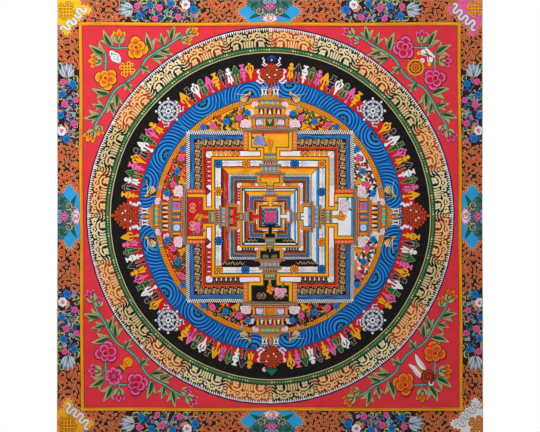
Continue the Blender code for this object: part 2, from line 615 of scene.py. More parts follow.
def daisy(brush, radius, glow, rim, lift=0):
    """An open flower of seven round petals about a button."""
    for i in range(7):
        ray = turned(51.4 * i + 12)
        for out, share, paint in ((0.64, 0.36, "maroon"), (0.64, 0.31, rim), (0.5, 0.17, glow)):
            brush.disc(out * radius * ray, share * radius, paint, lift + 2 * (i % 2), 12)
            lift += 1
        lift -= 3
    for share, paint in ((0.27, "maroon"), (0.22, rim), (0.12, glow)):
        brush.disc(0, share * radius, paint, lift + 6)
        lift += 1


def stem(brush, path, width, lift=0):
    """A green stem: dark outline, body, and a shade and a light along it."""
    brush.stroke(path, width + 1.0, "navy", lift)
    brush.stroke(path, width, "teal", lift + 1)
    brush.stroke([p + 0.3j * width for p in path], width * 0.24, "malachite", lift + 2, "swell")
    brush.stroke([p - 0.12j * width for p in path], width * 0.26, "jade", lift + 3, "bow")


def endless_knot(brush, size, line, edge, lift=0, widths=(0.2, 0.125)):
    """The traditional endless knot: three bars each way with looped corners."""
    for paint, width, step in ((edge, widths[0], 0), (line, widths[1], 1)):
        for i in (-1, 0, 1):
            offset = i * 0.3 * size
            reach = (0.42 if i else 0.62) * size
            bar = [complex(-reach, offset), complex(reach, offset)]
            brush.stroke(bar, width * size, paint, lift + step)
            brush.stroke([1j * p for p in bar], width * size, paint, lift + step)
        for i in range(4):
            corner = brush.at(0, 90 * i, size)
            ear = arc(0.45 + 0.45j, 0.15, -90, 270, 9)
            corner.stroke([0.3 + 0.3j, *ear, 0.3 + 0.3j], width, paint, lift + step)
            cap = arc(0.15 + 0.62j, 0.15, 180, -180, 7)
            corner.stroke([cap[0] - 0.1j, *cap, cap[-1] - 0.2j], width, paint, lift + step)


def ribbon(brush, places, width, shade, lift=0):
    """A fluttering white silk ribbon with its shade."""
    path = smooth_path(places)
    brush.stroke(path, 1.22 * width, "slate", lift, "bow")
    brush.stroke(path, width, shade, lift + 1, "bow")
    brush.stroke([p + 0.1j * width for p in path], width * 0.72, "chalk", lift + 2, "bow")


def dry_brush(brush, left, right, low, high, paints, count, width, rng, lift=1):
    """Broken strokes along a strip, as a nearly dry brush leaves them."""
    for i in range(count):
        reach = rng.uniform(0.05, 0.13) * (right - left)
        x, y = rng.uniform(left, right - reach), rng.uniform(low, high)
        bow = rng.uniform(-0.12, 0.12) * (high - low)
        path = [complex(x, y), complex(x + reach / 2, y + bow), complex(x + reach, y)]
        brush.stroke(path, width, paints[i % len(paints)], lift + i % len(paints), "swell")


# ---------------------------------------------------------------- materials

# In millimetres: the clouding where the brush was fuller, the stains of the glue size on the
# cotton, and its thicker yarns. Then the cotton's colour where the size is thin and thick.
LOAD_SIZE = 14
STAIN_SIZE = 90
YARN_SIZE = 1.8
PALE_COTTON = "#E6DCC6"
SIZED_COTTON = "#CDBB97"


def add_node(tree, kind, links=(), **settings):
    """Add a node, set its inputs or properties by name, and link sockets into it."""
    node = tree.nodes.new(kind)
    for name, value in settings.items():
        if name in node.bl_rna.properties:
            setattr(node, name, value)
        else:
            node.inputs[name.replace("_", " ")].default_value = value
    for target, source in links:
        tree.links.new(source, node.inputs[target])
    return node


def new_material(name):
    """A material with only its shader and output."""
    material = bpy.data.materials.new(name)
    material.use_nodes = True
    return material, material.node_tree, material.node_tree.nodes["Principled BSDF"]


def weave_height(tree, place, pitch):
    """Over-and-under height of a plain weave with this thread spacing in metres."""
    waves = [
        add_node(
            tree, "ShaderNodeTexWave", [("Vector", place)], wave_type="BANDS",
            bands_direction=axis, wave_profile="SIN", Scale=math.pi / (20 * pitch),
            Distortion=0.6, Detail_Scale=0.4,
        ).outputs["Fac"]
        for axis in ("X", "Z")
    ]
    return add_node(
        tree, "ShaderNodeMath", [(0, waves[0]), (1, waves[1])], operation="MULTIPLY"
    ).outputs[0]


def distemper(paint):
    """Mineral paint bound in hide glue, brushed on a chalk ground.

    It dries dead matte. The eye sees small changes of tone where the brush was fuller, a
    fine grain, and the cotton's threads just showing through.
    """
    name = "distemper_" + paint
    if name in bpy.data.materials:
        return bpy.data.materials[name]
    grain, roughness = STONE if paint in STONE_COLOURS else FINE
    material, tree, shader = new_material(name)
    place = add_node(tree, "ShaderNodeTexCoord").outputs["Object"]
    load, speck = (
        add_node(
            tree, "ShaderNodeTexNoise", [("Vector", place)], Scale=1 / (size * MM), Detail=detail
        ).outputs["Fac"]
        for size, detail in ((LOAD_SIZE, 3.0), (grain, 2.0))
    )
    tone, speckle = (
        add_node(
            tree, "ShaderNodeMapRange", [("Value", noise)], From_Min=low, From_Max=1 - low,
            To_Min=dark, To_Max=light,
        ).outputs[0]
        for noise, low, dark, light in ((load, 0.3, 0.92, 1.07), (speck, 0.25, 0.94, 1.06))
    )
    both = add_node(
        tree, "ShaderNodeMath", [(0, tone), (1, speckle)], operation="MULTIPLY"
    )
    colour = add_node(tree, "ShaderNodeVectorMath", [(1, both.outputs[0])], operation="MULTIPLY")
    colour.inputs[0].default_value = tuple(getattr(pigments(), paint))
    tree.links.new(colour.outputs[0], shader.inputs["Base Color"])
    relief = add_node(
        tree, "ShaderNodeMath",
        [(0, weave_height(tree, place, sizes().thread)), (1, speck)],
        operation="ADD",
    )
    bump = add_node(
        tree, "ShaderNodeBump", [("Height", relief.outputs[0])], Strength=0.25, Distance=0.00012
    )
    tree.links.new(bump.outputs[0], shader.inputs["Normal"])
    shader.inputs["Roughness"].default_value = roughness
    shader.inputs["IOR"].default_value = 1.45
    shader.inputs["Specular IOR Level"].default_value = 0.25
    return material


def bare_cotton():
    """Plain-woven cotton stiffened with glue size and chalk.

    The eye sees the square mesh of its threads, a few thicker yarns, and a warm off-white
    that is yellower where the size went on thick. Where the weave dips between the threads,
    its colour is darkened as painted shade. The threads are drawn twice as far apart as the
    sidebar says, and several times as coarse as real, so that they show from a metre away.
    """
    material, tree, shader = new_material("bare_cotton")
    place = add_node(tree, "ShaderNodeTexCoord").outputs["Object"]
    weave = weave_height(tree, place, 2 * sizes().thread)
    stain, yarn = (
        add_node(
            tree, "ShaderNodeTexNoise", [("Vector", place)], Scale=1 / (size * MM), Detail=detail
        ).outputs["Fac"]
        for size, detail in ((STAIN_SIZE, 4.0), (YARN_SIZE, 2.0))
    )
    sized = add_node(tree, "ShaderNodeMix", [("Factor", stain)], data_type="RGBA")
    sized.inputs["A"].default_value = (*linear(PALE_COTTON), 1)
    sized.inputs["B"].default_value = (*linear(SIZED_COTTON), 1)
    # Colour from the weave's height: the low places between the threads are darkened as painted
    # shade, and the thicker yarns vary the tone at random
    threads, slubs = (
        add_node(
            tree, "ShaderNodeMapRange", [("Value", height)], To_Min=dark, To_Max=light
        ).outputs[0]
        for height, dark, light in ((weave, 0.8, 1.06), (yarn, 0.9, 1.1))
    )
    shade = add_node(
        tree, "ShaderNodeMath", [(0, threads), (1, slubs)], operation="MULTIPLY"
    )
    colour = add_node(
        tree, "ShaderNodeVectorMath", [(0, sized.outputs["Result"]), (1, shade.outputs[0])],
        operation="MULTIPLY",
    )
    tree.links.new(colour.outputs[0], shader.inputs["Base Color"])
    bump = add_node(
        tree, "ShaderNodeBump", [("Height", weave)], Strength=0.6, Distance=0.0004
    )
    tree.links.new(bump.outputs[0], shader.inputs["Normal"])
    shader.inputs["Roughness"].default_value = 0.92
    shader.inputs["Sheen Weight"].default_value = 0.15
    shader.inputs["Sheen Roughness"].default_value = 0.6
    return material


# ---------------------------------------------------------------- the sheet


def sheet_outline(across, down):
    """World x and z of the hand-cut sheet; across is -1 to 1, down is 0 at the band to 1."""
    side = EDGE_WANDER * math.sin(9 * down + 0.7) * math.sin(math.pi * down)
    foot = EDGE_WANDER * 0.5 * math.sin(7 * across + 2) * (1 - across**2)
    x = across * (sizes().width / 2 + side)
    z = -HELD_BAND - down * (sizes().height - HELD_BAND) + foot * down**8
    return x, z


def sheet_rows(count):
    """Rows of world x and z from the top edge down."""
    acrosses = [2 * i / count - 1 for i in range(count + 1)]
    top = [(sheet_outline(across, 0)[0], 0.0) for across in acrosses]
    return [top] + [[sheet_outline(across, i / count) for across in acrosses]
                    for i in range(count + 1)]


class LayCanvas(bpy.types.Operator):
    """Hang the sheet of primed cotton in its gentle curve"""

    bl_idname = "hanging.canvas"
    bl_label = "Canvas"

    def execute(self, context):
        rows = np.array(sheet_rows(64))
        count, width = rows.shape[:2]
        x, z = rows.reshape(-1, 2).T
        half = sizes().thickness / 2
        stand = forward(x, z)
        front = np.stack([x, -half - stand, z], 1)
        back = np.stack([x, half - stand, z], 1)
        points = np.concatenate([front, back]).tolist()
        faces = []
        for row in range(count - 1):
            for i in range(width - 1):
                a = row * width + i
                quad = (a, a + width, a + width + 1, a + 1)
                faces.append(quad)
                faces.append(tuple(count * width + j for j in quad[::-1]))
        rim = [*range(width), *range(2 * width - 1, count * width, width),
               *range(count * width - 2, (count - 1) * width - 1, -1),
               *range((count - 2) * width, 0, -width)]
        for a, b in zip(rim, rim[1:] + rim[:1]):
            faces.append((a, b, count * width + b, count * width + a))
        mesh = bpy.data.meshes.new("canvas")
        mesh.from_pydata(points, [], faces)
        mesh.materials.append(bare_cotton())
        mesh.shade_smooth()
        mesh.set_sharp_from_angle(angle=math.radians(40))
        canvas = bpy.data.objects.new("canvas", mesh)
        context.scene.collection.objects.link(canvas)
        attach(canvas, "root")
        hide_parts("painted_canvas")
        return {"FINISHED"}


# ---------------------------------------------------------------- field and frame line


def border_brush(coat, lift=0):
    """A brush for the border, which is drawn a little wider than the round and leans."""
    return Brush(
        coat, lambda p: complex(BORDER_WIDER * p.real - BORDER_LEAN * p.imag, p.imag) + BORDER_AT,
        lift,
    )


class PaintField(bpy.types.Operator):
    """Lay the red field, the frame line round it and the border's dark ground"""

    bl_idname = "hanging.field"
    bl_label = "Field and frame line"

    def execute(self, context):
        coat = Coat("field")
        brush = border_brush(coat)
        inner = FIELD_HALF + 1
        brush.box(-inner, inner, -inner, inner, "crimson")
        brush.square(BORDER_OUT + 4, BORDER_IN - 1, "umber")
        coat.lay_down()
        frame_line = Coat("frame_line")
        brush = border_brush(frame_line, 12)
        brush.square(BORDER_IN + 0.5, FIELD_HALF - 0.6, "maroon")
        brush.square(BORDER_IN, FIELD_HALF, "saffron", 1)
        brush.square(FIELD_HALF + 1.5, FIELD_HALF, "orange", 2)
        rng = random.Random(1)
        for side in brush.sides():
            dry_brush(side, -BORDER_IN, BORDER_IN, FIELD_HALF + 0.7, BORDER_IN - 0.7,
                      ("orange", "ochre"), count=40, width=0.45, rng=rng, lift=2)
        frame_line.lay_down()
        return {"FINISHED"}


# ---------------------------------------------------------------- corner sprays

# One half of a corner spray. Its places are degrees from the corner's diagonal and
# millimetres from the picture's middle. A stem is a width, then places along it.
SPRAY_STEMS = (
    (2.7, (0, 226), (3, 228), (6, 232), (9.5, 231.5), (13, 230), (17, 231), (20, 229.5)),
    (2.2, (6.0, 240), (5.4, 251), (3.6, 258), (2.0, 264), (0.6, 272)),
    (1.7, (2.4, 262), (2.9, 265), (3.4, 268)),
)
# Tufts and buds: place, turn outward from along the stem, and size
SPRAY_TUFTS = ((8.6, 235, 70, 1.15), (7.4, 229, -38, 1.0), (15.0, 232, 48, 1.0),
               (10.6, 229, -52, 0.85), (3.2, 229, -75, 0.7), (12.4, 232, 70, 0.8),
               (1.3, 269, 76, 1.12), (5.4, 240, 118, 0.7))
SPRAY_BUDS = ((3.0, 266, 48, 1.05), (19.6, 229.5, 8, 1.0), (17.6, 226.5, -22, 0.8))
PEONY_AT = (5.8, 249)
PEONY_RADIUS = 12.8
# How far the two emblems on the diagonal lie from the middle
EMBLEMS_AT = (238, 256)


def spray_half(brush, angle, side, tint):
    """One half of a corner spray; side is 1 or -1."""

    def place(degrees, radius):
        return radius * turned(angle + side * degrees)

    def sprig(table, motif, **tones):
        for degrees, radius, turn, size in table:
            part = brush.at(place(degrees, radius), angle + side * (degrees + 90 - turn), size)
            part.marks(motif, "umber", 0.45 / size, 4, **tones)

    for width, *places in SPRAY_STEMS:
        stem(brush, smooth_path([place(*p) for p in places]), width)
    sprig(SPRAY_TUFTS, LEAF_TUFT)
    sprig(SPRAY_BUDS, FLOWER_BUD, **tint)
    flower = brush.at(place(*PEONY_AT), angle - 90 + 20 * side, 1, side < 0)
    peony(flower, PEONY_RADIUS, **tint, lift=12)


def emblems(brush, angle):
    """The small emblems on a corner's diagonal: a shell, a knot, a wheel, a vase."""
    inner, outer = (brush.at(r * turned(angle), angle - 90) for r in EMBLEMS_AT)
    if angle == 135:
        outer.at(0, -35, 1.05).marks(SHELL, "navy", 0.45, 4)
        endless_knot(inner.at(turn=45), 11.4, "saffron", "maroon", 4)
    elif angle == 45:
        spoked_wheel(inner.at(3j, 0, 0.8), "saffron", "maroon", "orange", 4)
        outer.at(4j, 0, 1.4).marks(CROSSED_LEAVES, "maroon", 0.35, 4)
    elif angle == 225:
        daisy(outer.at(4j), 11.0, "rose", "pink", 4)
        inner.at(1j, 0, 1.35).marks(VASE, "maroon", 0.35, 4)
    else:
        outer.at(5.5j).marks(BASKET, "umber", 0.4, 4)


class PaintSprays(bpy.types.Operator):
    """Paint a spray of peonies in each corner of the field, with small emblems in it"""

    bl_idname = "hanging.sprays"
    bl_label = "Corner sprays"

    def execute(self, context):
        coat = Coat("corner_sprays")
        brush = Brush(coat, lift=1)
        gold = {"petal": "orange", "glow": "minium", "rim": "saffron"}
        warm = {"petal": "minium", "glow": "vermilion", "rim": "orange"}
        rosy = {"petal": "rose", "glow": "scarlet", "rim": "pink"}
        for angle, tint in ((135, gold), (45, rosy), (225, rosy), (315, warm)):
            for side in (1, -1):
                spray_half(brush, angle, side, tint)
            emblems(brush, angle)
        coat.lay_down()
        return {"FINISHED"}


# ---------------------------------------------------------------- the round's rings

RING_SEGMENTS = 24
RIM_TEETH = 24
# Clockwise from the left: the panels' light curls and the dark between them
RING_TINTS = (("apricot", "maroon"), ("buff", "black"), ("apricot", "rust"), ("cream", "navy"))
# The light curls of one half of a panel, x from its middle, y from its inner edge: bars, a
# curled lobe round a clover, three coils with leaves between, and a fan at the end
RING_CURLS = (
    ("line", (2.1, 1.35, -0.2, 1.4, 4, 1.8, 8.4), (1.9, 4.4, -0.2, 4.2, 3.4, 4.9, 7.4)),
    ("bow", (2.4, 7.9, -0.2, 7.3, 3.8, 8.9, 7.7, 12.8, 9.3, 16.8, 8.4, 19.3, 5.4)),
    ("disc", (13.2, 1.5, 2.0), (12.9, 5.0, 1.7), (16.0, 4.3, 1.9), (17.0, 1.2, 1.7)),
    ("coil", (3.1, 12.7, 2.9, -120, 1.0, 2.0), (10.5, 13.9, 3.1, 190, -1.0, 2.1),
     (18.1, 12.7, 3.0, -60, 1.0, 2.0)),
    ("bow", (1.8, 6.7, 9.8, 6.9, 12.8, 5.8, 17.4), (1.8, 14.3, 11.0, 14.6, 13.8, 13.4, 17.6),
     (1.7, 21.4, 8.6, 22.0, 12.4, 20.8, 17.0)),
    ("disc", (8.4, 10.2, 1.1), (0, 9.9, 1.2), (0, 17.2, 1.4)),
    ("taper", (2.2, 26.0, 1.2, 22.6, 1.0, 20.0, 2.8), (2.2, 26.3, 4.2, 23.2, 4.5, 21.0, 6.6),
     (2.2, 26.7, 7.3, 24.0, 7.7, 22.2, 9.4), (2.2, 27.0, 10.4, 24.6, 11.0, 23.0, 12.6),
     (2.1, 27.4, 13.5, 25.4, 14.3, 24.0, 16.0), (2.0, 27.8, 16.5, 26.0, 17.4, 25.0, 18.6)),
)


def ring_panel(brush, ground, line, half):
    """One panel of the outer ring: light curls with dark eyes, and bars, close together on the
    dark colour, fanned strokes at its ends and white teeth along its rim."""
    height = SCROLL_OUT - SCROLL_IN
    wide = half * (1 + height / SCROLL_IN)
    brush.grid([[complex(x * w, y) for x in (-1, -0.5, 0, 0.5, 1)]
                for y, w in ((0, half), (height / 2, (half + wide) / 2), (height, wide))], line)
    for part in brush.hands():
        for kind, *row in RING_CURLS:
            for numbers in row:
                part.mark(kind, ground, 1, 0, numbers)
        for eye in (3.1 + 12.7j, 10.5 + 13.9j, 18.1 + 12.7j):
            part.disc(eye + 1.1, 0.75, line, 2, 7)
    for i, x in enumerate(spaced(wide, RIM_TEETH)):
        reach = 2.6 + 1.3 * (i * 5 % 3) / 2
        tooth = [complex(x, height + 0.1), complex(0.99 * x + 0.2, height - reach)]
        brush.stroke(tooth, 2.0, "chalk", 2, "taper")
    for x in (-half, half):
        brush.stroke([complex(x, 0), complex(x * wide / half, height)], 0.5, line, 3)


class PaintScrollRing(bpy.types.Operator):
    """Paint the outer ring of scroll panels in four repeating tints"""

    bl_idname = "hanging.scroll_ring"
    bl_label = "Scroll ring"

    def execute(self, context):
        coat = Coat("scroll_ring")
        brush = Brush(coat, lift=1)
        brush.annulus(SCROLL_OUT, RING_OUTLINE, "navy")
        step = 360 / RING_SEGMENTS
        half = math.radians(step) * SCROLL_IN / 2
        for index in range(RING_SEGMENTS):
            panel = brush.bent(SCROLL_IN, 180 - step * (index + 0.5))
            ring_panel(panel, *RING_TINTS[index % 4], half)
        coat.lay_down()
        return {"FINISHED"}


class PaintGreenRing(bpy.types.Operator):
    """Paint the narrow green ring of beads and zigzags, and the cream line inside it"""

    bl_idname = "hanging.green_ring"
    bl_label = "Green ring"

    def execute(self, context):
        coat = Coat("green_ring")
        brush = Brush(coat, lift=1)
        brush.annulus(GREEN_IN, SCROLL_IN, "malachite")
        brush.annulus(CREAM_IN, GREEN_IN, "buff", 1)
        brush.annulus(SCROLL_IN - 0.3, SCROLL_IN + 0.3, "navy", 3)
        middle = (GREEN_IN + SCROLL_IN) / 2
        step = 180 / RING_SEGMENTS
        half = math.radians(step) * middle / 2
        for index in range(2 * RING_SEGMENTS):
            part = brush.bent(middle, 180 - step * (index + 0.5))
            if index % 2:
                for i, x in enumerate(spaced(half, 8)):
                    spot = part.at(complex(x, -0.2))
                    size = (1.25, 1.0, 0.8, 0.65)[min(i, 7 - i)]
                    spot.disc(0, size, "olive", 1, 8)
                    spot.disc(0, 0.62 * size, "cream", 2, 6)
            else:
                for x in spaced(half, 12):
                    part.stroke(spread((x - 1.0, -1.1, x, 0.9, x + 1.0, -0.6)), 0.55, "olive", 1,
                                "taper")
        coat.lay_down()
        return {"FINISHED"}


# Pendants of each eighth of the ring: how many, the degrees they span, the radius of their
# middles and their size, and the paints and edges that follow each other
PENDANT_COUNT = 11
PENDANT_SPAN = 31.6
PENDANTS_AT = 166.5
PENDANT_SIZE = 1.12
PENDANT_PAINTS = (("saffron", "umber"), ("pink", "umber"), ("malachite", "olive"),
                  ("chalk", "navy"), ("navy", "olive"))


class PaintJewelRing(bpy.types.Operator):
    """Paint the black and red rings and the row of bright pendants that straddles them"""

    bl_idname = "hanging.jewel_ring"
    bl_label = "Jewel ring"

    def execute(self, context):
        coat = Coat("jewel_ring")
        brush = Brush(coat, lift=1)
        brush.annulus(BLACK_IN, CREAM_IN, "black")
        brush.annulus(RED_IN, BLACK_IN, "scarlet")
        brush.annulus(RED_IN - 0.2, RED_IN + 0.5, "navy", 3)
        for octant in range(8):
            for i in range(PENDANT_COUNT):
                share = (i + 0.5) / PENDANT_COUNT - 0.5
                degrees = 45 * octant + 22.5 + PENDANT_SPAN * share
                paint, edge = PENDANT_PAINTS[i % 5]
                jewel = brush.at(PENDANTS_AT * turned(degrees), degrees - 90, PENDANT_SIZE)
                jewel.marks(PENDANTS[(i * 3 + octant) % 4], edge, 0.5, 1, body=paint, line=edge)
        coat.lay_down()
        return {"FINISHED"}


# ---------------------------------------------------------------- wheels

# Radii of the middles of the wheels and side roundels, and of the top and bottom roundels
WHEELS_AT = 169.8
TOP_ROUNDEL_AT = 162.4
# Where the small curls of the green mound lie
MOUND_CURLS = spread((-4.4, -1, -1.5, -1, 1.5, -1, 4.4, -1, -2.6, 1.2, 0, 1.2, 2.6, 1.2, 0, 3.2))


def spoked_wheel(brush, rim, dark, light, lift=0):
    """An eight-spoked wheel, 12.4 to its rim, with a knob outside each spoke."""
    brush.disc(0, 12.9, dark, lift + 1, 32)
    for i in range(8):
        spoke = brush.at(0, 45 * i)
        spoke.disc(14.3, 1.9, dark, lift, 9)
        spoke.disc(14.3, 1.4, light, lift + 2, 9)
        spoke.fill([2.2 + p for p in lens(7.4, 2.5)], light, lift + 3)
        spoke.stroke([3, complex(8.6)], 0.4, dark, lift + 4)
        between = spoke.at(turn=22.5)
        between.disc(6.2, 1.25, rim, lift + 3, 8)
        between.disc(6.2, 0.6, dark, lift + 4, 6)
    brush.loop(circle(0, 10.9, 40), 2.9, rim, lift + 4)
    brush.loop(circle(0, 9.3, 36), 0.5, dark, lift + 5)
    for i in range(20):
        notch = brush.at(0, 18 * i)
        notch.disc(10.9, 0.85, light, lift + 5, 7)
        notch.stroke([complex(10.2, 1.5), complex(11.7, 1.9)], 0.4, dark, lift + 5)
    brush.disc(0, 4.1, dark, lift + 5, 14)
    for i in range(8):
        brush.disc(2.5 * turned(45 * i), 1.1, light, lift + 6, 8)
    brush.disc(0, 1.3, dark, lift + 7, 8)


def flame_roundel(brush, lift=0):
    """A red roundel that comes to a point inward, all of small curls."""
    rim = []
    for i in range(36):
        way = turned(10 * i - 90)
        reach = (abs(way.real / 14) ** 1.35 + abs(way.imag / 12.9) ** 1.35) ** (-1 / 1.35)
        rim.append(way * reach)
    brush.fill([0.98 * p for p in rim], "umber", lift)
    spots = [(0.97 * p, 1.25) for p in rim[::2]] + [(-14.2j, 1.7)]
    spots += [(complex(2.8 * column + 1.4 * (row % 2), 2.5 * row), 1.2)
              for row in range(-4, 5) for column in range(-4, 5)]
    for i, (place, size) in enumerate(spots):
        if i > 18 and abs(place.real / 12.6) ** 1.35 + abs(place.imag / 11.4) ** 1.35 > 1:
            continue
        curl = brush.at(place, 137 * i)
        curl.discs(0, (size + 0.25, size), ("maroon", "minium" if i % 3 == 1 else "vermilion"),
                   lift + 2, 8)
        curl.stroke(arc(0, 0.5 * size, 0, 220, 5), 0.45, "maroon", lift + 4)
    for place in (-5 - 0.6j, 4.2 - 1j, -2.4 - 3.6j, 6 + 5j):
        brush.discs(place, (1.3, 1.0), ("maroon", "chalk"), lift + 6, 7)


def side_ribbons(brush, reach, width, shade, lift=0):
    """Silk ends that curl out at both sides of a wheel."""
    for part in brush.hands():
        part = part.at(size=reach)
        upper = (0.5, -0.75, 0.85, -0.6, 1.16, -0.3, 1.02, 0.0, 1.3, 0.22, 1.12, 0.42)
        ribbon(part, spread(upper), width, shade, lift)
        lower = (0.75, -0.75, 1.05, -0.85, 1.3, -0.6, 1.4, -0.72)
        ribbon(part, spread(lower), 0.8 * width, shade, lift)


def dark_arch(brush):
    """A dark arch with blue lines and a pale bead, and ribbons at its sides."""
    side_ribbons(brush.at(1j), 8.0, 0.2, "pink", 3)
    for foot, radius, paint, lift in ((5.4 - 3.4j, 7.9, "black", 7), (4.6 - 3j, 7.2, "navy", 8)):
        brush.fill([foot, *arc(0, radius, 0, 180, 12), -foot.conjugate()], paint, lift)
    for radius in (5.6, 3.8):
        brush.stroke(arc(0, radius, 15, 150, 8), 0.6, "azure", 9, "swell")
    brush.disc(1j, 1.2, "blush", 9, 8)


def green_mound(brush):
    """A green mound of small curls with a pale curl beside it."""
    brush.disc(8.6 - 1.4j, 2.6, "blush", 7, 10)
    brush.stroke(coil(8.6 - 1.4j, 1.7, 40, 1.1, 9), 0.5, "mauve", 8)
    brush.fill(spread((-8.6, -3.2, 8.6, -3.2, 4.6, 1.8, 0, 6.4, -4.6, 1.8)), "black", 8)
    brush.fill(spread((-7.4, -2.7, 7.4, -2.7, 4.0, 1.4, 0, 5.4, -4.0, 1.4)), "malachite", 9)
    for place in MOUND_CURLS:
        brush.stroke(arc(place, 1.1, 10, 160, 5), 0.5, "teal", 10)


class PaintWheels(bpy.types.Operator):
    """Paint the four silver wheels and the four red roundels of the jewel ring"""

    bl_idname = "hanging.wheels"
    bl_label = "Wheels"

    def execute(self, context):
        coat = Coat("wheels")
        brush = Brush(coat, lift=5)
        for i in range(4):
            angle = 90 * i
            wheel = brush.at(WHEELS_AT * turned(45 + angle), angle - 45)
            side_ribbons(wheel.at(-2j), 12.0, 0.1, "ripple")
            spoked_wheel(wheel, "feather", "navy", "chalk", 4)
            if i % 2:
                roundel = brush.at(TOP_ROUNDEL_AT * turned(angle) + 1.2, angle - 90)
                side_ribbons(roundel, 12.5, 0.22, "pink")
            else:
                roundel = brush.at(WHEELS_AT * turned(angle), angle + 90, 1.1)
                side_ribbons(roundel.at(11j), 10.4, 0.3, "pink")
            flame_roundel(roundel, 4)
            if i % 2:
                (dark_arch, green_mound)[i // 2](roundel.at(15.4j))
        coat.lay_down()
        return {"FINISHED"}


# ---------------------------------------------------------------- water, rope and flowers

WHIRLS = 16


def whirl_ripples(brush, centres, index, rng):
    """Ripples round one whirl, kept to its own share of the water."""
    centre = centres[index]
    for step in range(1, 22):
        radius = 3.6 + 1.9 * step
        tone, width = (("deep", 1.4), ("ripple", 1.3))[step % 2]
        run = []
        for point in arc(centre, radius, 0, 360, 12 + 3 * step) + [None]:
            if point is not None and WATER_IN + 0.4 < abs(point) < RED_IN - 0.4 and all(
                abs(point - other) + 1.5 * (i % 2) >= radius + 1.5 * (index % 2) - 0.01
                for i, other in enumerate(centres) if i != index
            ):
                run.append(point)
                continue
            if len(run) > 2:
                brush.stroke(run, width * rng.uniform(0.85, 1.15), tone, 1 + step % 2, "bow")
            run = []


class PaintWater(bpy.types.Operator):
    """Paint the ring of water with its whirls and ripples"""

    bl_idname = "hanging.water"
    bl_label = "Water ring"

    def execute(self, context):
        coat = Coat("water_ring")
        brush = Brush(coat, lift=1)
        brush.annulus(WATER_IN, RED_IN, "water")
        rng = random.Random(11)
        centres = []
        for i in range(WHIRLS):
            radius = RED_IN - 1.5 if i % 2 else WATER_IN + 2.2
            centres.append(radius * turned(360 * (i + 0.5) / WHIRLS + 4 * math.sin(2.4 * i)))
        for index, centre in enumerate(centres):
            whirl_ripples(brush, centres, index, rng)
            inward = math.degrees(cmath.phase(-centre if index % 2 else centre))
            eye = brush.at(centre, inward - 90, 1.35, index % 4 > 1)
            eye.fill(arc(0, 6.2, 0, 180, 12), "ripple", 3)
            eye.fill(arc(0, 5.4, 2, 176, 12), "navy", 4)
            for angle in (28, 66, 104, 146):
                flame = eye.at(1.4 * turned(angle), angle + 24)
                flame.fill(lens(2.8, 1.7, 0.4), "ripple", 5)
                flame.fill([0.5 + p for p in lens(1.6, 0.8, 0.3)], "navy", 6)
        coat.lay_down()
        return {"FINISHED"}


# From its gold head: the pole down, the streamer outward and the striped fan
PENNANT = (
    ("line", "buff", 0, (0.5, -1.2, -14, -0.6, -7, 0, 3)),
    ("taper", "chalk", 0, (0.9, 1.2, -1.6, 9, -2.4, 18, -1.0)),
    ("shape", "buff", 0, (-1.0, -1.8, 3.4, -2.4, 11.2, -5.6, 11.0, -9.8, 5.2, -12.6, 1.2, -8.0)),
    ("taper", "malachite", 1, (2.2, 0.6, -2.8, 5, -4.8, 11, -7.2)),
    ("taper", "minium", 1, (1.7, 0.8, -4.2, 4.4, -7.2, 9.6, -9.6)),
    ("taper", "navy", 1, (2.2, -0.2, -3.4, 2, -8.2, 6.0, -12.2)),
    ("disc", "saffron", 2, (0, 0, 1.6)),
)

ROPE_TURNS = 380
# The ground of each of the four segments of flowers, top, right, bottom, left
FLOWER_GROUNDS = ("saffron", "chalk", "black", "scarlet")
GOLD_CLUSTER = (
    ("disc", "ochre", 0, (0, 0, 3.1), (-3.4, -1.2, 2.0), (3.4, -1.2, 2.0), (0.6, 3.2, 1.9)),
    ("coil", "saffron", 1, (0, 0, 2.2, 40, 1.2, 0.8)),
    ("disc", "saffron", 1, (-3.4, -1.2, 1.1), (3.4, -1.2, 1.1), (0.6, 3.2, 1.0)),
)
# Flowers and a gold cluster on one hand of a segment, out from the middle of the palace's side
STREWN = (78 + 3.6j, 67.5 + 5.7j, 52 + 10.4j, 36.5 + 14.7j)
CLUSTER_AT = 40 + 4.7j


def curl_places():
    """Places for the curls of one segment, between the palace and the rope."""
    half = PALACES[0][0]
    for row in range(6):
        for column in range(-18, 19):
            place = complex(5.8 * column + 2.9 * (row % 2), half + 2.9 + 5.2 * row)
            if abs(place + PALACE_AT) < GROUND_OUT - 1.6 and (
                    abs(place.real) > 24 or place.imag < half + 3):
                yield place


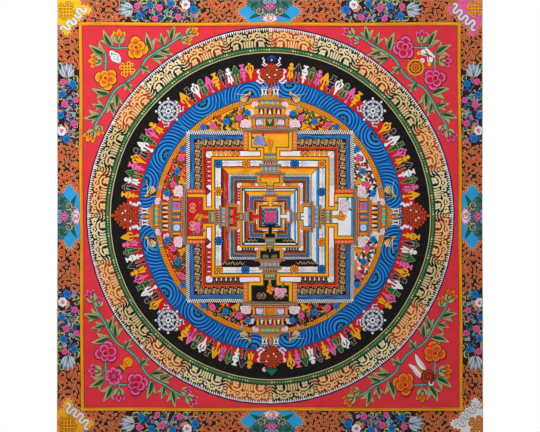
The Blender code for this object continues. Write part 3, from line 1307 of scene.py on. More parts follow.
def strew_flowers(brush):
    """Fill the four segments beside the palace with curls, flowers and gold clusters."""
    rng = random.Random(7)
    half = PALACES[0][0]
    reach = math.sqrt(GROUND_OUT**2 - half**2) + 3
    tones = ("malachite", "minium", "navy", "malachite", "orange", "maroon", "navy", "scarlet")
    xs = [reach * (2 * i / 28 - 1) for i in range(29)]
    tops = [max(half, math.sqrt(max((GROUND_OUT + 1) ** 2 - x * x, 0))) for x in xs]
    rows = [[complex(x, half - 0.5 + share * (top + 0.5 - half)) for x, top in zip(xs, tops)]
            for share in (0, 0.5, 1)]
    for side, ground in zip(brush.at(PALACE_AT).sides(), FLOWER_GROUNDS):
        side.grid(rows, ground)
        rim = "umber" if ground in ("saffron", "chalk") else "buff"
        for place in curl_places():
            tone = rng.choice([t for t in tones if t != ground])
            curl = side.at(place + complex(rng.uniform(-0.7, 0.7), rng.uniform(-0.7, 0.7)),
                           rng.uniform(0, 360), rng.uniform(0.9, 1.12), rng.random() < 0.5)
            hook = arc(0, 2.1, -20, 235, 9)
            curl.stroke(hook, 2.9, rim if tone == "navy" else "umber", 1)
            curl.stroke(hook, 1.8, tone, 2)
            curl.disc(hook[-1], 1.35, tone, 3, 7)
            if rng.random() < 0.5:
                curl.stroke(arc(0, 2.2, 10, 130, 5), 0.5, "saffron", 3, "taper")
        for part in side.hands():
            for i, place in enumerate(STREWN):
                blossom(part.at(place + 1j * half, 30 * i), 4.1, *BLOOM_PAINTS[i % 2], lift=4)
            part.at(CLUSTER_AT + 1j * half, 30).marks(GOLD_CLUSTER, "maroon", 0.4, 4)


class PaintRopeAndFlowers(bpy.types.Operator):
    """Paint the golden rope ring and the flower-strewn ground inside it"""

    bl_idname = "hanging.flower_ground"
    bl_label = "Rope ring and flower ground"

    def execute(self, context):
        coat = Coat("rope_ring")
        brush = Brush(coat, lift=2)
        brush.annulus(GROUND_OUT, WATER_IN, "ochre")
        brush.annulus(GROUND_OUT, ROPE_IN + 0.8, "orange", 1)
        brush.annulus(WATER_IN - 0.4, WATER_IN + 0.3, "navy", 4)
        brush.annulus(GROUND_OUT - 0.3, GROUND_OUT + 0.4, "maroon", 4)
        for i in range(ROPE_TURNS):
            part = brush.bent((ROPE_IN + WATER_IN) / 2 + 0.4, 360 * i / ROPE_TURNS)
            part.stroke([-0.9 - 2.2j, 0.1, 0.9 + 2.1j], 1.15, "saffron", 2, "swell")
            part.stroke([0.2 - 2.2j, 1.1, 2.0 + 1.9j], 0.6, "maroon" if i % 3 else "rust", 3)
        coat.lay_down()
        flowers = Coat("flower_ground")
        strew_flowers(Brush(flowers, lift=1))
        flowers.lay_down()
        return {"FINISHED"}


# ---------------------------------------------------------------- palaces

# Each side's floor, top, right, bottom, left: strips of paint with the share of the floor
# where each ends, from the outside in, and the paints of the dry strokes on it
FLOORS = (
    ((("minium", 0.2), ("orange", 0.32), ("saffron", 1.0)), ("yellow", "orange")),
    ((("ripple", 0.38), ("chalk", 1.0)), ("cream", "feather")),
    ((("black", 1.0),), ("umber", "black")),
    ((("maroon", 0.34), ("rust", 0.71), ("scarlet", 1.0)), ("tan", "scarlet")),
)
# The offerings on each side: the paint of their bodies and of their lines
OFFERING_TINTS = (("saffron", "rust"), ("cream", "feather"), ("black", "taupe"),
                  ("scarlet", "rust"))
ROUNDEL = (
    ("disc", "line", 0, (0, 0, 2.5)),
    ("disc", "body", 1, (0, 0, 2.1)),
    ("coil", "line", 3, (0, 0, 1.5, 60, 1.1, 0.6)),
)
GIFT = (
    ("disc", "body", 0, (0, 0.2, 1.6)),
    ("line", "body", 0, (1.2, -2.1, -1.9, 2.1, -1.9)),
    ("blade", "body", 0, (-0.6, 0.6, 128, 3.2, 1.6, 0), (0.6, 0.6, 52, 3.2, 1.6, 0)),
    ("disc", "line", 1, (0, 0.2, 0.7)),
)
ROSETTE_PAINTS = (("saffron", "rust"), ("bluet", "navy"))


def jewel_band(side, outer, inner):
    """Slanted white dashes with fine grey strokes between them on black."""
    side.mitred(outer, inner, "black")
    depth = outer - inner
    count = round(2 * outer / (0.15 * depth + 1.6))
    lean = 0.24 * depth
    for x in spaced(outer, count):
        x *= 0.985
        side.stroke([complex(x - lean, inner + 0.1 * depth),
                     complex(x + lean, outer - 0.03 * depth)], 0.12 * depth + 0.45, "chalk", 1)
        side.stroke([complex(x + 2 * lean, inner + 0.1 * depth),
                     complex(x + lean, inner + 0.34 * depth)], 0.08 * depth, "feather", 1)


def blue_band(side, outer, inner, rng):
    """Blue wall with streaks of light and dark along it."""
    side.mitred(outer, inner, "azure")
    depth = outer - inner
    side.mitred(inner + 0.08 * depth, inner, "navy", 1)
    side.mitred(outer, outer - 0.09 * depth, "deep", 1)
    dry_brush(side, -inner, inner, inner + 0.2 * depth, outer - 0.15 * depth,
              ("ripple", "deep"), count=round(inner * 0.5), width=0.1 * depth, rng=rng, lift=2)


def scroll_band(side, outer, inner):
    """Dark band of tan roundels with leafy scrolls and beads between them."""
    side.mitred(outer, inner, "umber")
    depth, middle = outer - inner, (outer + inner) / 2
    unit = depth / 8.9
    count = max(2, round(2 * middle / (9.6 * unit)))
    for x in spaced(middle, count):
        spot = side.at(complex(x, middle), 0, unit)
        spot.stroke(coil(0, 2.6, -40, 1.2, 12, 0.3), 0.85, "tan", 1)
        spot.disc(0, 0.7, "buff", 2, 7)
        for angle in (45, 135, 225, 315):
            spot.at(2.9 * turned(angle), angle + 40).fill(lens(2.2, 1.2), "tan", 2)
        for part in spot.hands():
            part.stroke(smooth_path(spread((3.6, 3.9, 4.6, 2.2, 3.9, 0, 4.7, -2.4)), 3), 0.8,
                        "buff", 1, "bow")
            part.disc(2.3 - 3.9j, 0.45, "buff", 2, 6)
        for height in (-3.9, 3.9):
            spot.disc(1j * height, 0.5, "buff", 2, 6)
    side.stroke([complex(outer, outer), complex(inner, inner)], 0.08 * depth, "black", 3)


def rail_band(side, outer, inner, rng):
    """Orange rail with a dark line and a maroon under side, darker on the inner palaces."""
    depth = outer - inner
    light, shade = ("minium", "rust") if outer > 60 else ("rust", "maroon")
    side.mitred(outer, inner, "maroon")
    side.mitred(outer - 0.06 * depth, outer - 0.42 * depth, light, 1)
    side.mitred(outer - 0.56 * depth, inner + 0.14 * depth, shade, 1)
    dry_brush(side, -inner, inner, inner + 0.2 * depth, outer - 0.5 * depth,
              ("vermilion", "maroon"), count=round(inner * 0.35), width=0.12 * depth, rng=rng,
              lift=2)


def offering_band(side, outer, inner, half, index):
    """White band with a row of small offerings, in each side's own tint."""
    side.mitred(outer, inner, "chalk")
    depth, middle = outer - inner, (outer + inner) / 2
    body, line = OFFERING_TINTS[index]
    start, stop = 0.36 * half, 0.69 * half
    count = round((stop - start) / (0.92 * depth))
    for part in side.hands():
        for i in range(count):
            place = complex(start + (stop - start) * (i + 0.5) / count, middle)
            motif = ROUNDEL if index == 1 or (index == 0 and i < 2) else GIFT
            gift = part.at(place, 0, 0.185 * depth)
            gift.marks(motif, line, 0.45, 1, body=body, line=line)
    side.stroke([complex(outer, outer), complex(inner, inner)], 0.07 * depth, "umber", 3)


def rosette(brush, paint, line, lift=0):
    """A round flower of eight petals, 1 in radius."""
    brush.disc(0, 1.0, line, lift, 18)
    for i in range(8):
        brush.fill([0.42 * turned(45 * i) + turned(45 * i) * p for p in lens(0.55, 0.36)], paint,
                   lift + 1)
    for i in range(6):
        brush.disc(0.24 * turned(60 * i), 0.1, paint, lift + 2, 6)


def rosette_band(side, outer, inner, index):
    """White band with pink wisps between blue and orange rosettes."""
    side.mitred(outer, inner, "chalk")
    depth, middle = outer - inner, (outer + inner) / 2
    first = (index + 1) % 2
    for x, tone in ((-middle, first), (-0.465 * middle, 1 - first), (0.48 * middle, first)):
        rosette(side.at(complex(x, middle), 0, 0.76 * depth), *ROSETTE_PAINTS[tone], 4)
        hands = side.at(complex(x, middle), 0, depth).hands()
        for part in hands if x > -middle else hands[:1]:
            for px, py, tone in ((0.95, 0.24, "mauve"), (1.15, -0.2, "pink"), (1.4, 0.16, "mauve"),
                                 (1.7, -0.12, "blush")):
                part.stroke(arc(complex(px, py), 0.2, 200 * px, 250, 6), 0.09, tone, 2, "swell")
            part.stroke(spread((0.8, 0.02, 1.6, 0.0, 2.8, 0.06)), 0.06, "blush", 3, "swell")
    side.mitred(outer - 0.3 * depth, outer - 0.36 * depth, "feather", 1)
    side.mitred(inner + 0.08 * depth, inner, "umber", 2)


def plain_court(side, outer, inner):
    """White band with a small blue square at each corner."""
    side.mitred(outer, inner, "chalk")
    side.box(-outer, 0.4 - inner, inner - 0.4, outer, "azure", 2)
    side.mitred(inner + 0.3, inner, "umber", 1)


def floor_band(side, outer, inner, index, rng):
    """The courtyard's floor, each side in its own paints."""
    depth = outer - inner
    strips, streaks = FLOORS[index]
    start = 0
    for paint, end in strips:
        side.mitred(outer - start * depth, outer - end * depth, paint)
        start = end
    dry_brush(side, -0.9 * inner, 0.9 * inner, inner + 0.08 * depth, outer - 0.4 * depth,
              streaks, count=round(inner * 0.9), width=0.06 * depth, rng=rng)
    if index == 2:
        for part in side.hands():
            for i in range(3):
                wave = part.at(complex((0.36 + 0.09 * i) * inner * 2, inner + 0.45 * depth), 0,
                               0.34 * depth)
                wave.stroke(smooth_path(spread((-2, -0.5, -1, 0.7, 0, -0.4, 1, 0.6, 2, -0.5)), 4),
                            0.35, "tan", 4, "swell")
    side.mitred(outer, outer - 0.05 * depth, "umber", 3)
    side.stroke([complex(outer, outer), complex(inner, inner)], 0.07 * depth, "umber", 4)


def paint_side(side, half, shares, index, number, rng):
    """All the bands of one side of a palace."""
    jewels, blue, scrolls, rail, gifts, red, wall, green, court, floor, end = (
        half * share for share in shares)
    jewel_band(side, jewels, blue)
    blue_band(side, blue, scrolls, rng)
    scroll_band(side, scrolls, rail)
    rail_band(side, rail, gifts, rng)
    offering_band(side, gifts, red, half, index)
    side.mitred(red, wall, "minium" if number else "scarlet")
    side.mitred(wall, green, "saffron")
    side.mitred(green + 0.35, court, "malachite", 0.5)
    if number == 0:
        rosette_band(side, court, floor, index)
    else:
        plain_court(side, court, floor)
    floor_band(side, floor, end, index, rng)
    for edge in (blue, scrolls, rail, gifts):
        line = 0.1 + 0.0025 * half
        side.mitred(edge + line, edge - line, "umber", 2)


class PaintPalaces(bpy.types.Operator):
    """Paint the three nested square palaces, band by band"""

    bl_idname = "hanging.palaces"
    bl_label = "Palaces"

    def execute(self, context):
        rng = random.Random(5)
        for number, (half, shares) in enumerate(PALACES):
            coat = Coat("palace_%d" % (number + 1))
            brush = Brush(coat, lift=8).at(PALACE_AT)
            for index, side in enumerate(brush.sides()):
                paint_side(side, half, shares, index, number, rng)
            coat.lay_down()
        return {"FINISHED"}


# ---------------------------------------------------------------- gates

# The outer gate in millimetres from the palace's middle, x half widths and y outward. The
# inner gates are the same drawing at the size of their palace.
PORCH_HALF = 21.4
NECK_HALF = 6.9
PORCH_LOW = 79.8
GATE_TOP = 97.6
# Lines of the wall that step round the porch and neck: paint, and how far each stands out,
# on the outer gates and on the inner ones
WALL_LINES = (("scarlet", 5.3), ("saffron", 4.1), ("malachite", 1.1))
INNER_WALL_LINES = (("minium", 7.2), ("saffron", 5.4), ("malachite", 2.5))
# Share of their height at which the outer roofs at top and bottom, and at the sides, are drawn
ROOF_SHARES = (0.91, 1)
# Tiers of the roofs from the gate up: kind, half width, low and high y
ROOF = (
    ("plank", 33.0, 97.6, 101.9),
    ("dots", 23.0, 101.9, 104.8),
    ("stage", 21.5, 104.8, 113.9),
    ("plank", 23.5, 113.9, 117.0),
    ("dots", 19.0, 117.0, 119.5),
    ("pillars", 16.2, 119.5, 126.4),
    ("plank", 18.3, 126.4, 129.2),
    ("dots", 14.0, 129.2, 131.5),
    ("windows", 10.5, 131.5, 135.5),
    ("plank", 15.0, 135.5, 138.4),
    ("crown", 13.0, 138.4, 142.4),
)
SMALL_ROOF = (
    ("plank", 36.6, 96.4, 102.2),
    ("dots", 26.0, 102.2, 106.6),
    ("blue windows", 21.8, 106.6, 114.4),
    ("plank", 27.0, 114.4, 121.9),
    ("pillars", 18.4, 121.9, 127.0),
    ("plank", 20.0, 127.0, 130.8),
    ("dots", 16.0, 130.8, 134.2),
    ("windows", 12.0, 134.2, 140.4),
    ("plank", 14.8, 140.4, 146.8),
)
FINIAL = (
    ("box", "maroon", 0, (-0.9, 0.9, 0.2, 8.4)),
    ("box", "apricot", 1, (-0.8, 0.8, 0.4, 3.4)),
    ("swell", "chalk", 0, (1.7, 3.4, -0.6, 2.1, 2.6, 1.9, 6, 3.4, 8.6),
     (1.7, -3.4, -0.6, -2.1, 2.6, -1.9, 6, -3.4, 8.6)),
    ("line", "chalk", 0, (1.1, -3.0, 8.4, 3.0, 8.4)),
    ("disc", "saffron", 2, (-2.9, 10.4, 0.95), (0, 11.2, 1.05), (2.9, 10.4, 0.95)),
)
TOP_BUD = (
    ("shape", "chalk", 0, (-2.4, 5.4, 0, 10.2, 2.4, 5.4, 0, 7.6)),
    ("disc", "orange", 2, (0, 1.9, 2.0)),
    ("blade", "ochre", 2, (0, 2.2, 90, 6.2, 3.2, 0)),
    ("disc", "saffron", 3, (0, 1.7, 1.1)),
)
PINK_CLOUD = (
    ("disc", "chalk", 0, (0, 0, 3.4), (3.6, -1.4, 2.7), (-3.6, -1.0, 2.6), (1.8, 3.0, 2.5),
     (-1.6, 3.6, 2.2), (4.4, 2.0, 1.7)),
    ("coil", "rose", 1, (0, 0, 2.5, 40, 1.3, 0.45)),
    ("coil", "pink", 1, (3.6, -1.4, 2.1, 200, -1.3, 0.5)),
    ("coil", "rose", 1, (-3.6, -1.0, 1.9, 90, 1.2, 0.45)),
    ("coil", "pink", 1, (1.6, 3.2, 1.9, 300, 1.2, 0.5)),
    ("coil", "rose", 1, (-1.8, 3.8, 1.6, 150, -1.1, 0.4)),
    ("bow", "pink", 1, (0.5, -4.6, -2.6, -1, -3.2, 2.6, -2.8),
     (0.5, 3.4, 1.2, 4.6, 2.2, 5.4, 0.8)),
)
LINE_DIAMONDS = (
    ("line", "line", 1, (0.55, -5.2, 2.6, -2.6, 5.6, 0, 2.6, -2.6, -0.4, -5.2, 2.6),
     (0.55, -0.6, 2.6, 2.0, 5.6, 4.6, 2.6, 2.0, -0.4, -0.6, 2.6),
     (0.5, -4.2, 1.0, -2.6, 3.2, -1.0, 1.0), (0.5, 0.4, 1.0, 2.0, 3.2, 3.6, 1.0)),
)


def plank(brush, half, low, high, rng):
    """A brown weathered roof board with rounded ends."""
    deep = high - low
    ends = spread((-half, low + 0.2 * deep, -half + 0.3 * deep, low, half - 0.3 * deep, low, half,
                   low + 0.2 * deep, 0.97 * half, high, -0.97 * half, high))
    brush.loop(ends, 0.5, "umber", 0)
    brush.fill(ends, "taupe", 1)
    for share, tone, width in ((0.3, "umber", 0.12), (0.78, "tan", 0.16), (0.52, "umber", 0.1)):
        path = [complex(0.92 * half * (i / 4 - 1), low + deep * (share + rng.uniform(-0.12, 0.12)))
                for i in range(9)]
        brush.stroke(smooth_path(path, 3), width * deep, tone, 2, "swell")


def bead_row(brush, half, low, high):
    """A red ledge with a row of pale beads."""
    brush.box(-half, half, low, high, "maroon")
    brush.box(-half, half, low + 0.14 * (high - low), high - 0.1 * (high - low), "vermilion", 1)
    for i, x in enumerate(spaced(0.96 * half, 2 * round(half / 1.4) + 1)):
        brush.disc(complex(x, (low + high) / 2), 0.22 * (high - low),
                   "apricot" if i % 2 else "rust", 2, 6)


def pictured_stage(brush, half, low, high, index):
    """Three panels between orange posts: clouds or flowers on sky at both sides, and a leaf or
    a gold bud in the middle."""
    deep = high - low
    brush.box(-half, half, low, high, "umber")
    for i in (-1, 0, 1):
        panel = brush.at(complex(0.58 * i * half, low))
        ground = "sky" if i else ("malachite", "azure", "ochre", "azure")[index]
        panel.box(-0.2 * half, 0.2 * half, 0.3, deep - 0.3, ground, 1)
        if i and index in (1, 3):
            tones = BLOOM_PAINTS[1] if i * (index - 2) > 0 else ("chalk", "slate", "ripple")
            blossom(panel.at(0.5j * deep, 20 * i), 0.42 * deep, *tones, lift=2)
        elif i:
            panel.at(0.45j * deep, 0, 0.15 * deep / 2.0, i < 0).marks(PINK_CLOUD, "pink", 0.2, 2)
        elif index:
            panel.at(0.1j * deep, 0, 0.1 * deep).marks(TOP_BUD, "rust", 0.35, 2, chalk="saffron")
        else:
            panel.fill([-3.4 + 1j * (deep - 0.4), 2j, 3.4 + 1j * (deep - 0.4)], "tan", 2)
            panel.fill([-2.2 + 1j * (deep - 0.4), 3.4j, 2.2 + 1j * (deep - 0.4)], "olive", 3)
    for x in (-0.9, -0.3, 0.3, 0.9):
        post = brush.at(x * half)
        post.box(-1.7, 1.7, low, high, "rust", 5)
        post.box(-1.4, 1.4, low, high, "orange", 6)
        post.box(0.2, 0.9, low, high, "saffron", 7)


def pillared_hall(brush, half, low, high):
    """Yellow pillars before dark red, with small white drapes between."""
    deep = high - low
    brush.box(-half, half, low, high, "maroon")
    for x in (-0.92, -0.32, 0.32, 0.92):
        brush.box(x * half - 1.45, x * half + 1.45, low, high, "rust", 3)
        brush.box(x * half - 1.1, x * half + 1.1, low, high, "saffron", 4)
    for x in (-0.62, 0, 0.62):
        drape = brush.at(complex(x * half, low), 0, deep / 7)
        drape.fill(spread((-2.2, 0.3, 1.8, 0.3, 1.2, 3.4, 0.4, 6.4, -0.9, 5.4, -1.0, 2.6)), "chalk",
                   1)
        drape.stroke([-0.8 + 0.8j, 0.6 + 3.4j], 0.7, "blush", 2)
        drape.disc(1.9 + 1.6j, 0.8, "malachite", 2, 6)


def windows(brush, half, low, high, paint, count):
    """A row of small windows between yellow posts."""
    brush.box(-half, half, low, high, "umber")
    pitch = 2 * half / (count + 0.5 * (count - 1) + 1)
    for i in range(count):
        x = 1.5 * pitch * (i - (count - 1) / 2)
        brush.box(x - 0.5 * pitch, x + 0.5 * pitch, low + 0.2, high - 0.2, paint, 1)
    for i in range(count + 1):
        x = 1.5 * pitch * (i - count / 2)
        brush.box(x - 0.24 * pitch, x + 0.24 * pitch, low, high, "ochre", 1)
        brush.box(x - 0.17 * pitch, x + 0.17 * pitch, low, high, "saffron", 2)


def crown(brush, half, low, high):
    """The gold roof cap with its finials."""
    rise = spread((-half, low, half, low, 0.8 * half, low + 0.6 * (high - low), 0.5 * half, high,
                   -0.5 * half, high, -0.8 * half, low + 0.6 * (high - low)))
    brush.loop(rise, 0.9, "rust", 0)
    brush.fill(rise, "ochre", 1)
    for i, x in enumerate(spaced(0.9 * half, 13)):
        brush.stroke([complex(x, low + 0.2), complex(0.7 * x, high - 0.5)], 0.7,
                     ("orange", "rust")[i % 2], 2, "swell")
    for x in (-6.7, 6.7):
        brush.at(complex(x, high - 0.2)).marks(FINIAL, "slate", 0.3, 3)
    brush.at(complex(0, high)).marks(TOP_BUD, "rust", 0.35, 3)


def stack_roof(brush, tiers, index, rng):
    """Paint a roof's tiers from the gate up."""
    for kind, half, low, high in tiers:
        if kind == "plank":
            plank(brush.at(lift=2), half, low, high, rng)
        elif kind == "dots":
            bead_row(brush, half, low, high)
        elif kind == "stage":
            pictured_stage(brush, half, low, high, index)
        elif kind == "pillars":
            pillared_hall(brush, half, low, high)
        elif kind == "windows":
            windows(brush, half, low, high, "mint", 3)
        elif kind == "blue windows":
            windows(brush, half, low, high, "sky", 4)
        else:
            crown(brush, half, low, high)


def gate(brush, index, number, wall, green, rng):
    """The porch and neck of one side, the wall lines stepping round them, and the posts."""
    for step, (tone, grow) in enumerate(INNER_WALL_LINES if number else WALL_LINES):
        low = (wall + 3.4, wall, green)[step]
        brush.box(-PORCH_HALF - grow, PORCH_HALF + grow, PORCH_LOW - grow, GATE_TOP, tone, step)
        brush.box(-NECK_HALF - grow, NECK_HALF + grow, low, PORCH_LOW, tone, step)
    strips, streaks = FLOORS[index]
    floor = strips[-1][0]
    brush.box(-PORCH_HALF, PORCH_HALF, PORCH_LOW, GATE_TOP, floor, 3)
    brush.box(-NECK_HALF, NECK_HALF, green - 0.8, PORCH_LOW, floor, 3)
    if index == 3 and number:
        brush.box(-PORCH_HALF, PORCH_HALF, PORCH_LOW + 9, GATE_TOP, "maroon", 4)
    elif index != 3:
        share = 3.0 if number == 0 else 7.0
        brush.box(-PORCH_HALF, PORCH_HALF, GATE_TOP - share, GATE_TOP, strips[0][0], 4)
    if index != 1:
        dry_brush(brush, -PORCH_HALF, PORCH_HALF, PORCH_LOW + 1, GATE_TOP - 4, streaks,
                  count=10, width=0.5, rng=rng, lift=4)
    for post in brush.hands():
        post.box(25.9, 31.8, 76.0, GATE_TOP, "umber", 3)
        post.box(26.4, 31.5, 76.4, GATE_TOP, "minium" if index in (1, 3) else "orange", 4)
        post.box(28.2, 29.6, 76.4, GATE_TOP, "tan", 5)
        for i in range(9):
            y = 78 + 2.1 * i
            post.stroke([complex(26.8, y), complex(28.8, y + 0.8), complex(31.2, y)], 0.55,
                        ("vermilion", "apricot")[i % 2], 6, "swell")
        if number == 0 and index == 3:
            post.fill(spread((23.2, 75.8, 34.8, 75.8, 29, 69.4)), "umber", 3)
            post.fill(spread((24.0, 75.6, 34.0, 75.6, 29, 70.2)), "maroon", 4)
            post.fill(spread((25.6, 75.4, 29, 75.4, 29, 71.8)), "rust", 5)
    brush.box(-PORCH_HALF - 3, PORCH_HALF + 3, GATE_TOP - 0.8, GATE_TOP + 0.4, "umber", 7)


def porch_ornament(brush, index, number):
    """Plain ornaments of the porches: gold fruit, a leafy cloud and line diamonds."""
    line = ("ochre", "blush", "tan", "apricot")[index]
    if number or index in (2, 3):
        for part in brush.at(complex(0, PORCH_LOW + 8.4)).hands():
            part.at(complex(10.4, 0), 0, 1.35 if number else 1.1).marks(
                LINE_DIAMONDS, lift=5, line=line)
    if number:
        return
    brush.at(complex(0, PORCH_LOW - 3.4)).marks(TOP_BUD, "rust", 0.35, 5, chalk="saffron")
    for x, y, r in ((-2.6, 4.4, 2.3), (1.8, 6.4, 2.2), (1.2, 2.4, 2.2), (-1.0, 8.6, 1.6)):
        fruit = brush.at(complex(x, PORCH_LOW + y - 1))
        fruit.discs(0, (r + 0.4, r), ("rust", "ochre" if index == 3 else "orange"), 6)
        fruit.stroke(coil(0, 0.66 * r, 50 * x, 1.1, 9), 0.5, "saffron", 8)
    tones = (("sky", "navy"), ("chalk", "malachite"), ("blush", "rose"), ("pink", "maroon"))[index]
    puff = brush.at(complex(-12.6, PORCH_LOW + 6.4), 0, 1.15)
    puff.marks(PINK_CLOUD, tones[1], 0.35, 5, chalk=tones[0], blush=tones[1])
    for turn in (60, 150, 250, 330):
        spray = puff.at(4.6 * turned(turn), turn)
        spray.fill(lens(5.2, 2.4), "malachite" if index else "navy", 6)
        spray.stroke([0.6, 3.6 + 0.2j], 0.5, "chalk", 7, "taper")


def lowered(brush, share):
    """A brush whose heights above the gate are drawn at a share of their size."""
    outer = brush.place
    return Brush(
        brush.coat, lambda p: outer(complex(p.real, GATE_TOP + share * (p.imag - GATE_TOP))),
        brush.lift,
    )


def gate_side(side):
    """The clouds, flowers and pennants beside an outer gate's roof."""
    for part in side.hands():
        for x, y, size in ((28.0, 106.5, 1.12), (22.6, 121.2, 0.72), (16.6, 131.0, 0.72)):
            part.at(complex(x, y), 10 * size, size).marks(PINK_CLOUD, "blush", 0.3, 1)
        part.at(34.5 + 103.5j, -150, 0.5).marks(LEAF_TUFT[3:], "buff", 0.5, 1)
        blossom(part.at(26.4 + 120.8j), 4.1, "bluet", "navy", "navy", 3)
        seed = part.at(31.4 + 125.4j, 60)
        seed.fill(lens(7.6, 3.2), "navy", 3)
        seed.fill([0.3 + p for p in lens(7.0, 2.5)], "feather", 4)
        seed.stroke([1, 6], 0.4, "slate", 5, "taper")
        part.at(23.8 + 146j).marks(PENNANT, "umber", 0.3, 6)


class PaintGates(bpy.types.Operator):
    """Paint the four gates of each palace, their roofs, and the clouds and pennants by them"""

    bl_idname = "hanging.gates"
    bl_label = "Gates"

    def execute(self, context):
        rng = random.Random(9)
        full = PALACES[0][0]
        for number, (half, shares) in enumerate(PALACES):
            coat = Coat("gates_%d" % (number + 1))
            brush = Brush(coat, lift=14).at(PALACE_AT)
            wall, green = full * shares[7], full * shares[8]
            for index, side in enumerate(brush.sides()):
                scaled = side.at(0, 0, half / full)
                gate(scaled, index, number, wall, green, rng)
                if number < 2:
                    porch_ornament(scaled, index, number)
                if number == 0:
                    tall = lowered(side, ROOF_SHARES[index % 2])
                    gate_side(tall)
                    stack_roof(tall.at(lift=8), ROOF, index, rng)
                else:
                    stack_roof(scaled.at(lift=8), SMALL_ROOF, index, rng)
                    bud = scaled.at(complex(0, 147), 0, 1.6, lift=8)
                    bud.marks(TOP_BUD, "rust", 0.4, chalk="ochre")
            coat.lay_down()
        return {"FINISHED"}


class PaintHeart(bpy.types.Operator):
    """Paint the innermost court and the pink lotus at the middle"""

    bl_idname = "hanging.heart"
    bl_label = "Heart"

    def execute(self, context):
        coat = Coat("heart")
        brush = Brush(coat, lift=20).at(PALACE_AT)
        brush.square(9.3, 7.7, "deep")
        brush.square(7.7, 5.4, "slate", 1)
        for side in brush.sides():
            for i, x in enumerate(spaced(8.2, 9)):
                side.stroke([complex(x, 6.2), complex(x + 0.7, 7.1)], 0.7,
                            ("navy", "feather", "azure")[i % 3], 2)
                side.disc(complex(x, 8.4), 0.5, ("feather", "maroon", "azure")[i % 3], 2, 6)
            side.disc(-8.4 + 8.4j, 0.8, "feather", 3, 6)
        brush.box(-5.5, 5.5, -5.5, 5.5, "pink", 3)
        for i in range(8):
            petal = brush.at(0, 45 * i)
            petal.fill(lens(7.2 if i % 2 else 5.3, 3.3), "scarlet", 3.5)
            petal.fill(lens(6.7 if i % 2 else 4.9, 2.2), "rose", 4)
            petal.fill([0.8 + p for p in lens(4.0, 1.0)], "pink", 5)
        brush.disc(0, 1.6, "scarlet", 6, 9)
        brush.disc(0, 0.7, "pink", 7, 8)
        coat.lay_down()
        return {"FINISHED"}


# ---------------------------------------------------------------- the border

# One half of a side of the border, in millimetres from the side's middle
SKY_REACH = 38.0
FLOWERS_FROM, FLOWERS_TO = 84.0, 156.0
PLUME_AT = 159.0
# The sky patch's edge on one hand and the corner patch's on one side of its diagonal: along
# and out from the frame line, and in from the two outer edges
SKY_EDGE = spread((26.5, -0.5, 28.5, 3.5, 33, 7, 38, 11.5, 35.5, 16, 30, 19.5, 27.5, 23,
                   26.5, 28.5))
CORNER_EDGE = spread((27, -1, 29.5, 5.2, 35.5, 6.5, 40.5, 11.5, 37, 16.5, 31.5, 18.2, 29.2, 22.2,
                      25.6, 25.6))
SPIRAL_SIZE = 0.98
SPIRAL = (
    ("coil", "line", 1, (0, 0, 5.0, -90, 1.1, 1.9)),
    ("bow", "line", 1, (2.2, 0.2, -5.0, 3.2, -5.8, 6.2, -4.4, 8.2, -6.6, 7.6, -9.8)),
    ("coil", "line", 1, (6.8, 2.0, 2.1, 200, 0.9, 1.6)),
    ("disc", "line", 1, (-6.4, 2.4, 1.35), (-4.8, 5.4, 1.35), (-6.6, -1.0, 1.2), (3.0, 6.8, 1.3),
     (-4.6, -5.4, 1.2)),
)
# What a stretch of flowers holds, each by its share along it from the plume and its share of
# the reach out from the frame line: flowers with their size and kind, twigs, rosettes of
# blades, and curled petals
FLOWERS_DEEP = 27
BLOOMS = ((0.02, 0.70, 4.1, 1), (0.05, 0.28, 4.3, 0), (0.22, 0.74, 4.3, 0), (0.38, 0.62, 4.4, 1),
          (0.31, 0.17, 3.8, 1), (0.56, 0.80, 4.4, 0), (0.68, 0.24, 4.2, 1), (0.93, 0.56, 4.9, 0))
TWIGS_AT = ((0.24, 0.5), (0.47, 0.42), (0.62, 0.6), (0.82, 0.2))
BLADES_AT = ((0.12, 0.4), (0.35, 0.22), (0.45, 0.8), (0.68, 0.38), (0.9, 0.7))
PETALS_AT = ((0.5, 0.83), (0.75, 0.55))
FOLIAGE = (
    ("blade", "mint", 0, (0, 0, 62, 8.4, 2.4, 0.6), (1.6, -0.6, 84, 6.4, 2.0, 0.5)),
    ("taper", "teal", 1, (0.6, 0.6, 1.2, 3.2, 6)),
)
CURLED_PETAL = (
    ("swell", "orange", 0, (2.2, -3.4, -3.6, -1, -3.2, 1.2, -0.4, 1.0, 3.2, 3.6, 4.8)),
    ("coil", "orange", 0, (-1.2, -0.4, 2.0, -60, -0.8, 1.2)),
    ("swell", "apricot", 1, (0.8, -2.6, -3.3, 0, -1.6, 0.8, 2.2, 2.8, 4.2)),
)


def spiral(brush):
    """One scroll of the border with its pale edge and the lobes round it."""
    for paint, rim, step in (("buff", 0.28, 1), ("vermilion", 0.0, 2)):
        for kind, _, _, *row in SPIRAL:
            for numbers in row:
                brush.mark(kind, paint, step, rim / SPIRAL_SIZE, numbers)
    brush.stroke(coil(0.1, 5.2, -60, 1.0, 12, 0.35), 0.45, "minium", 2.6, "swell")


def scroll_stretch(side, start, end, rng):
    """Vermilion scrollwork over a stretch of the border, in two staggered rows."""
    columns = max(1, round((end - start) / 12.6))
    pitch = (end - start) / columns
    for column in range(columns + 1):
        for row in range(2):
            x = start + pitch * (column + 0.5 * row)
            if x > end + 1:
                continue
            place = complex(x + rng.uniform(-1, 1), BORDER_IN + 7.2 + 14.4 * row)
            turn = 180 * row + rng.choice((0, 90)) + rng.uniform(-20, 20)
            spiral(side.at(place, turn, SPIRAL_SIZE, (column + row) % 2 > 0))
            bud = side.at(place + complex(0.5 * pitch, 0), rng.uniform(0, 360))
            for y in (-2.4, 2.4):
                bud.discs(1j * y, (1.7, 1.3), ("buff", "vermilion"), 1, 8)


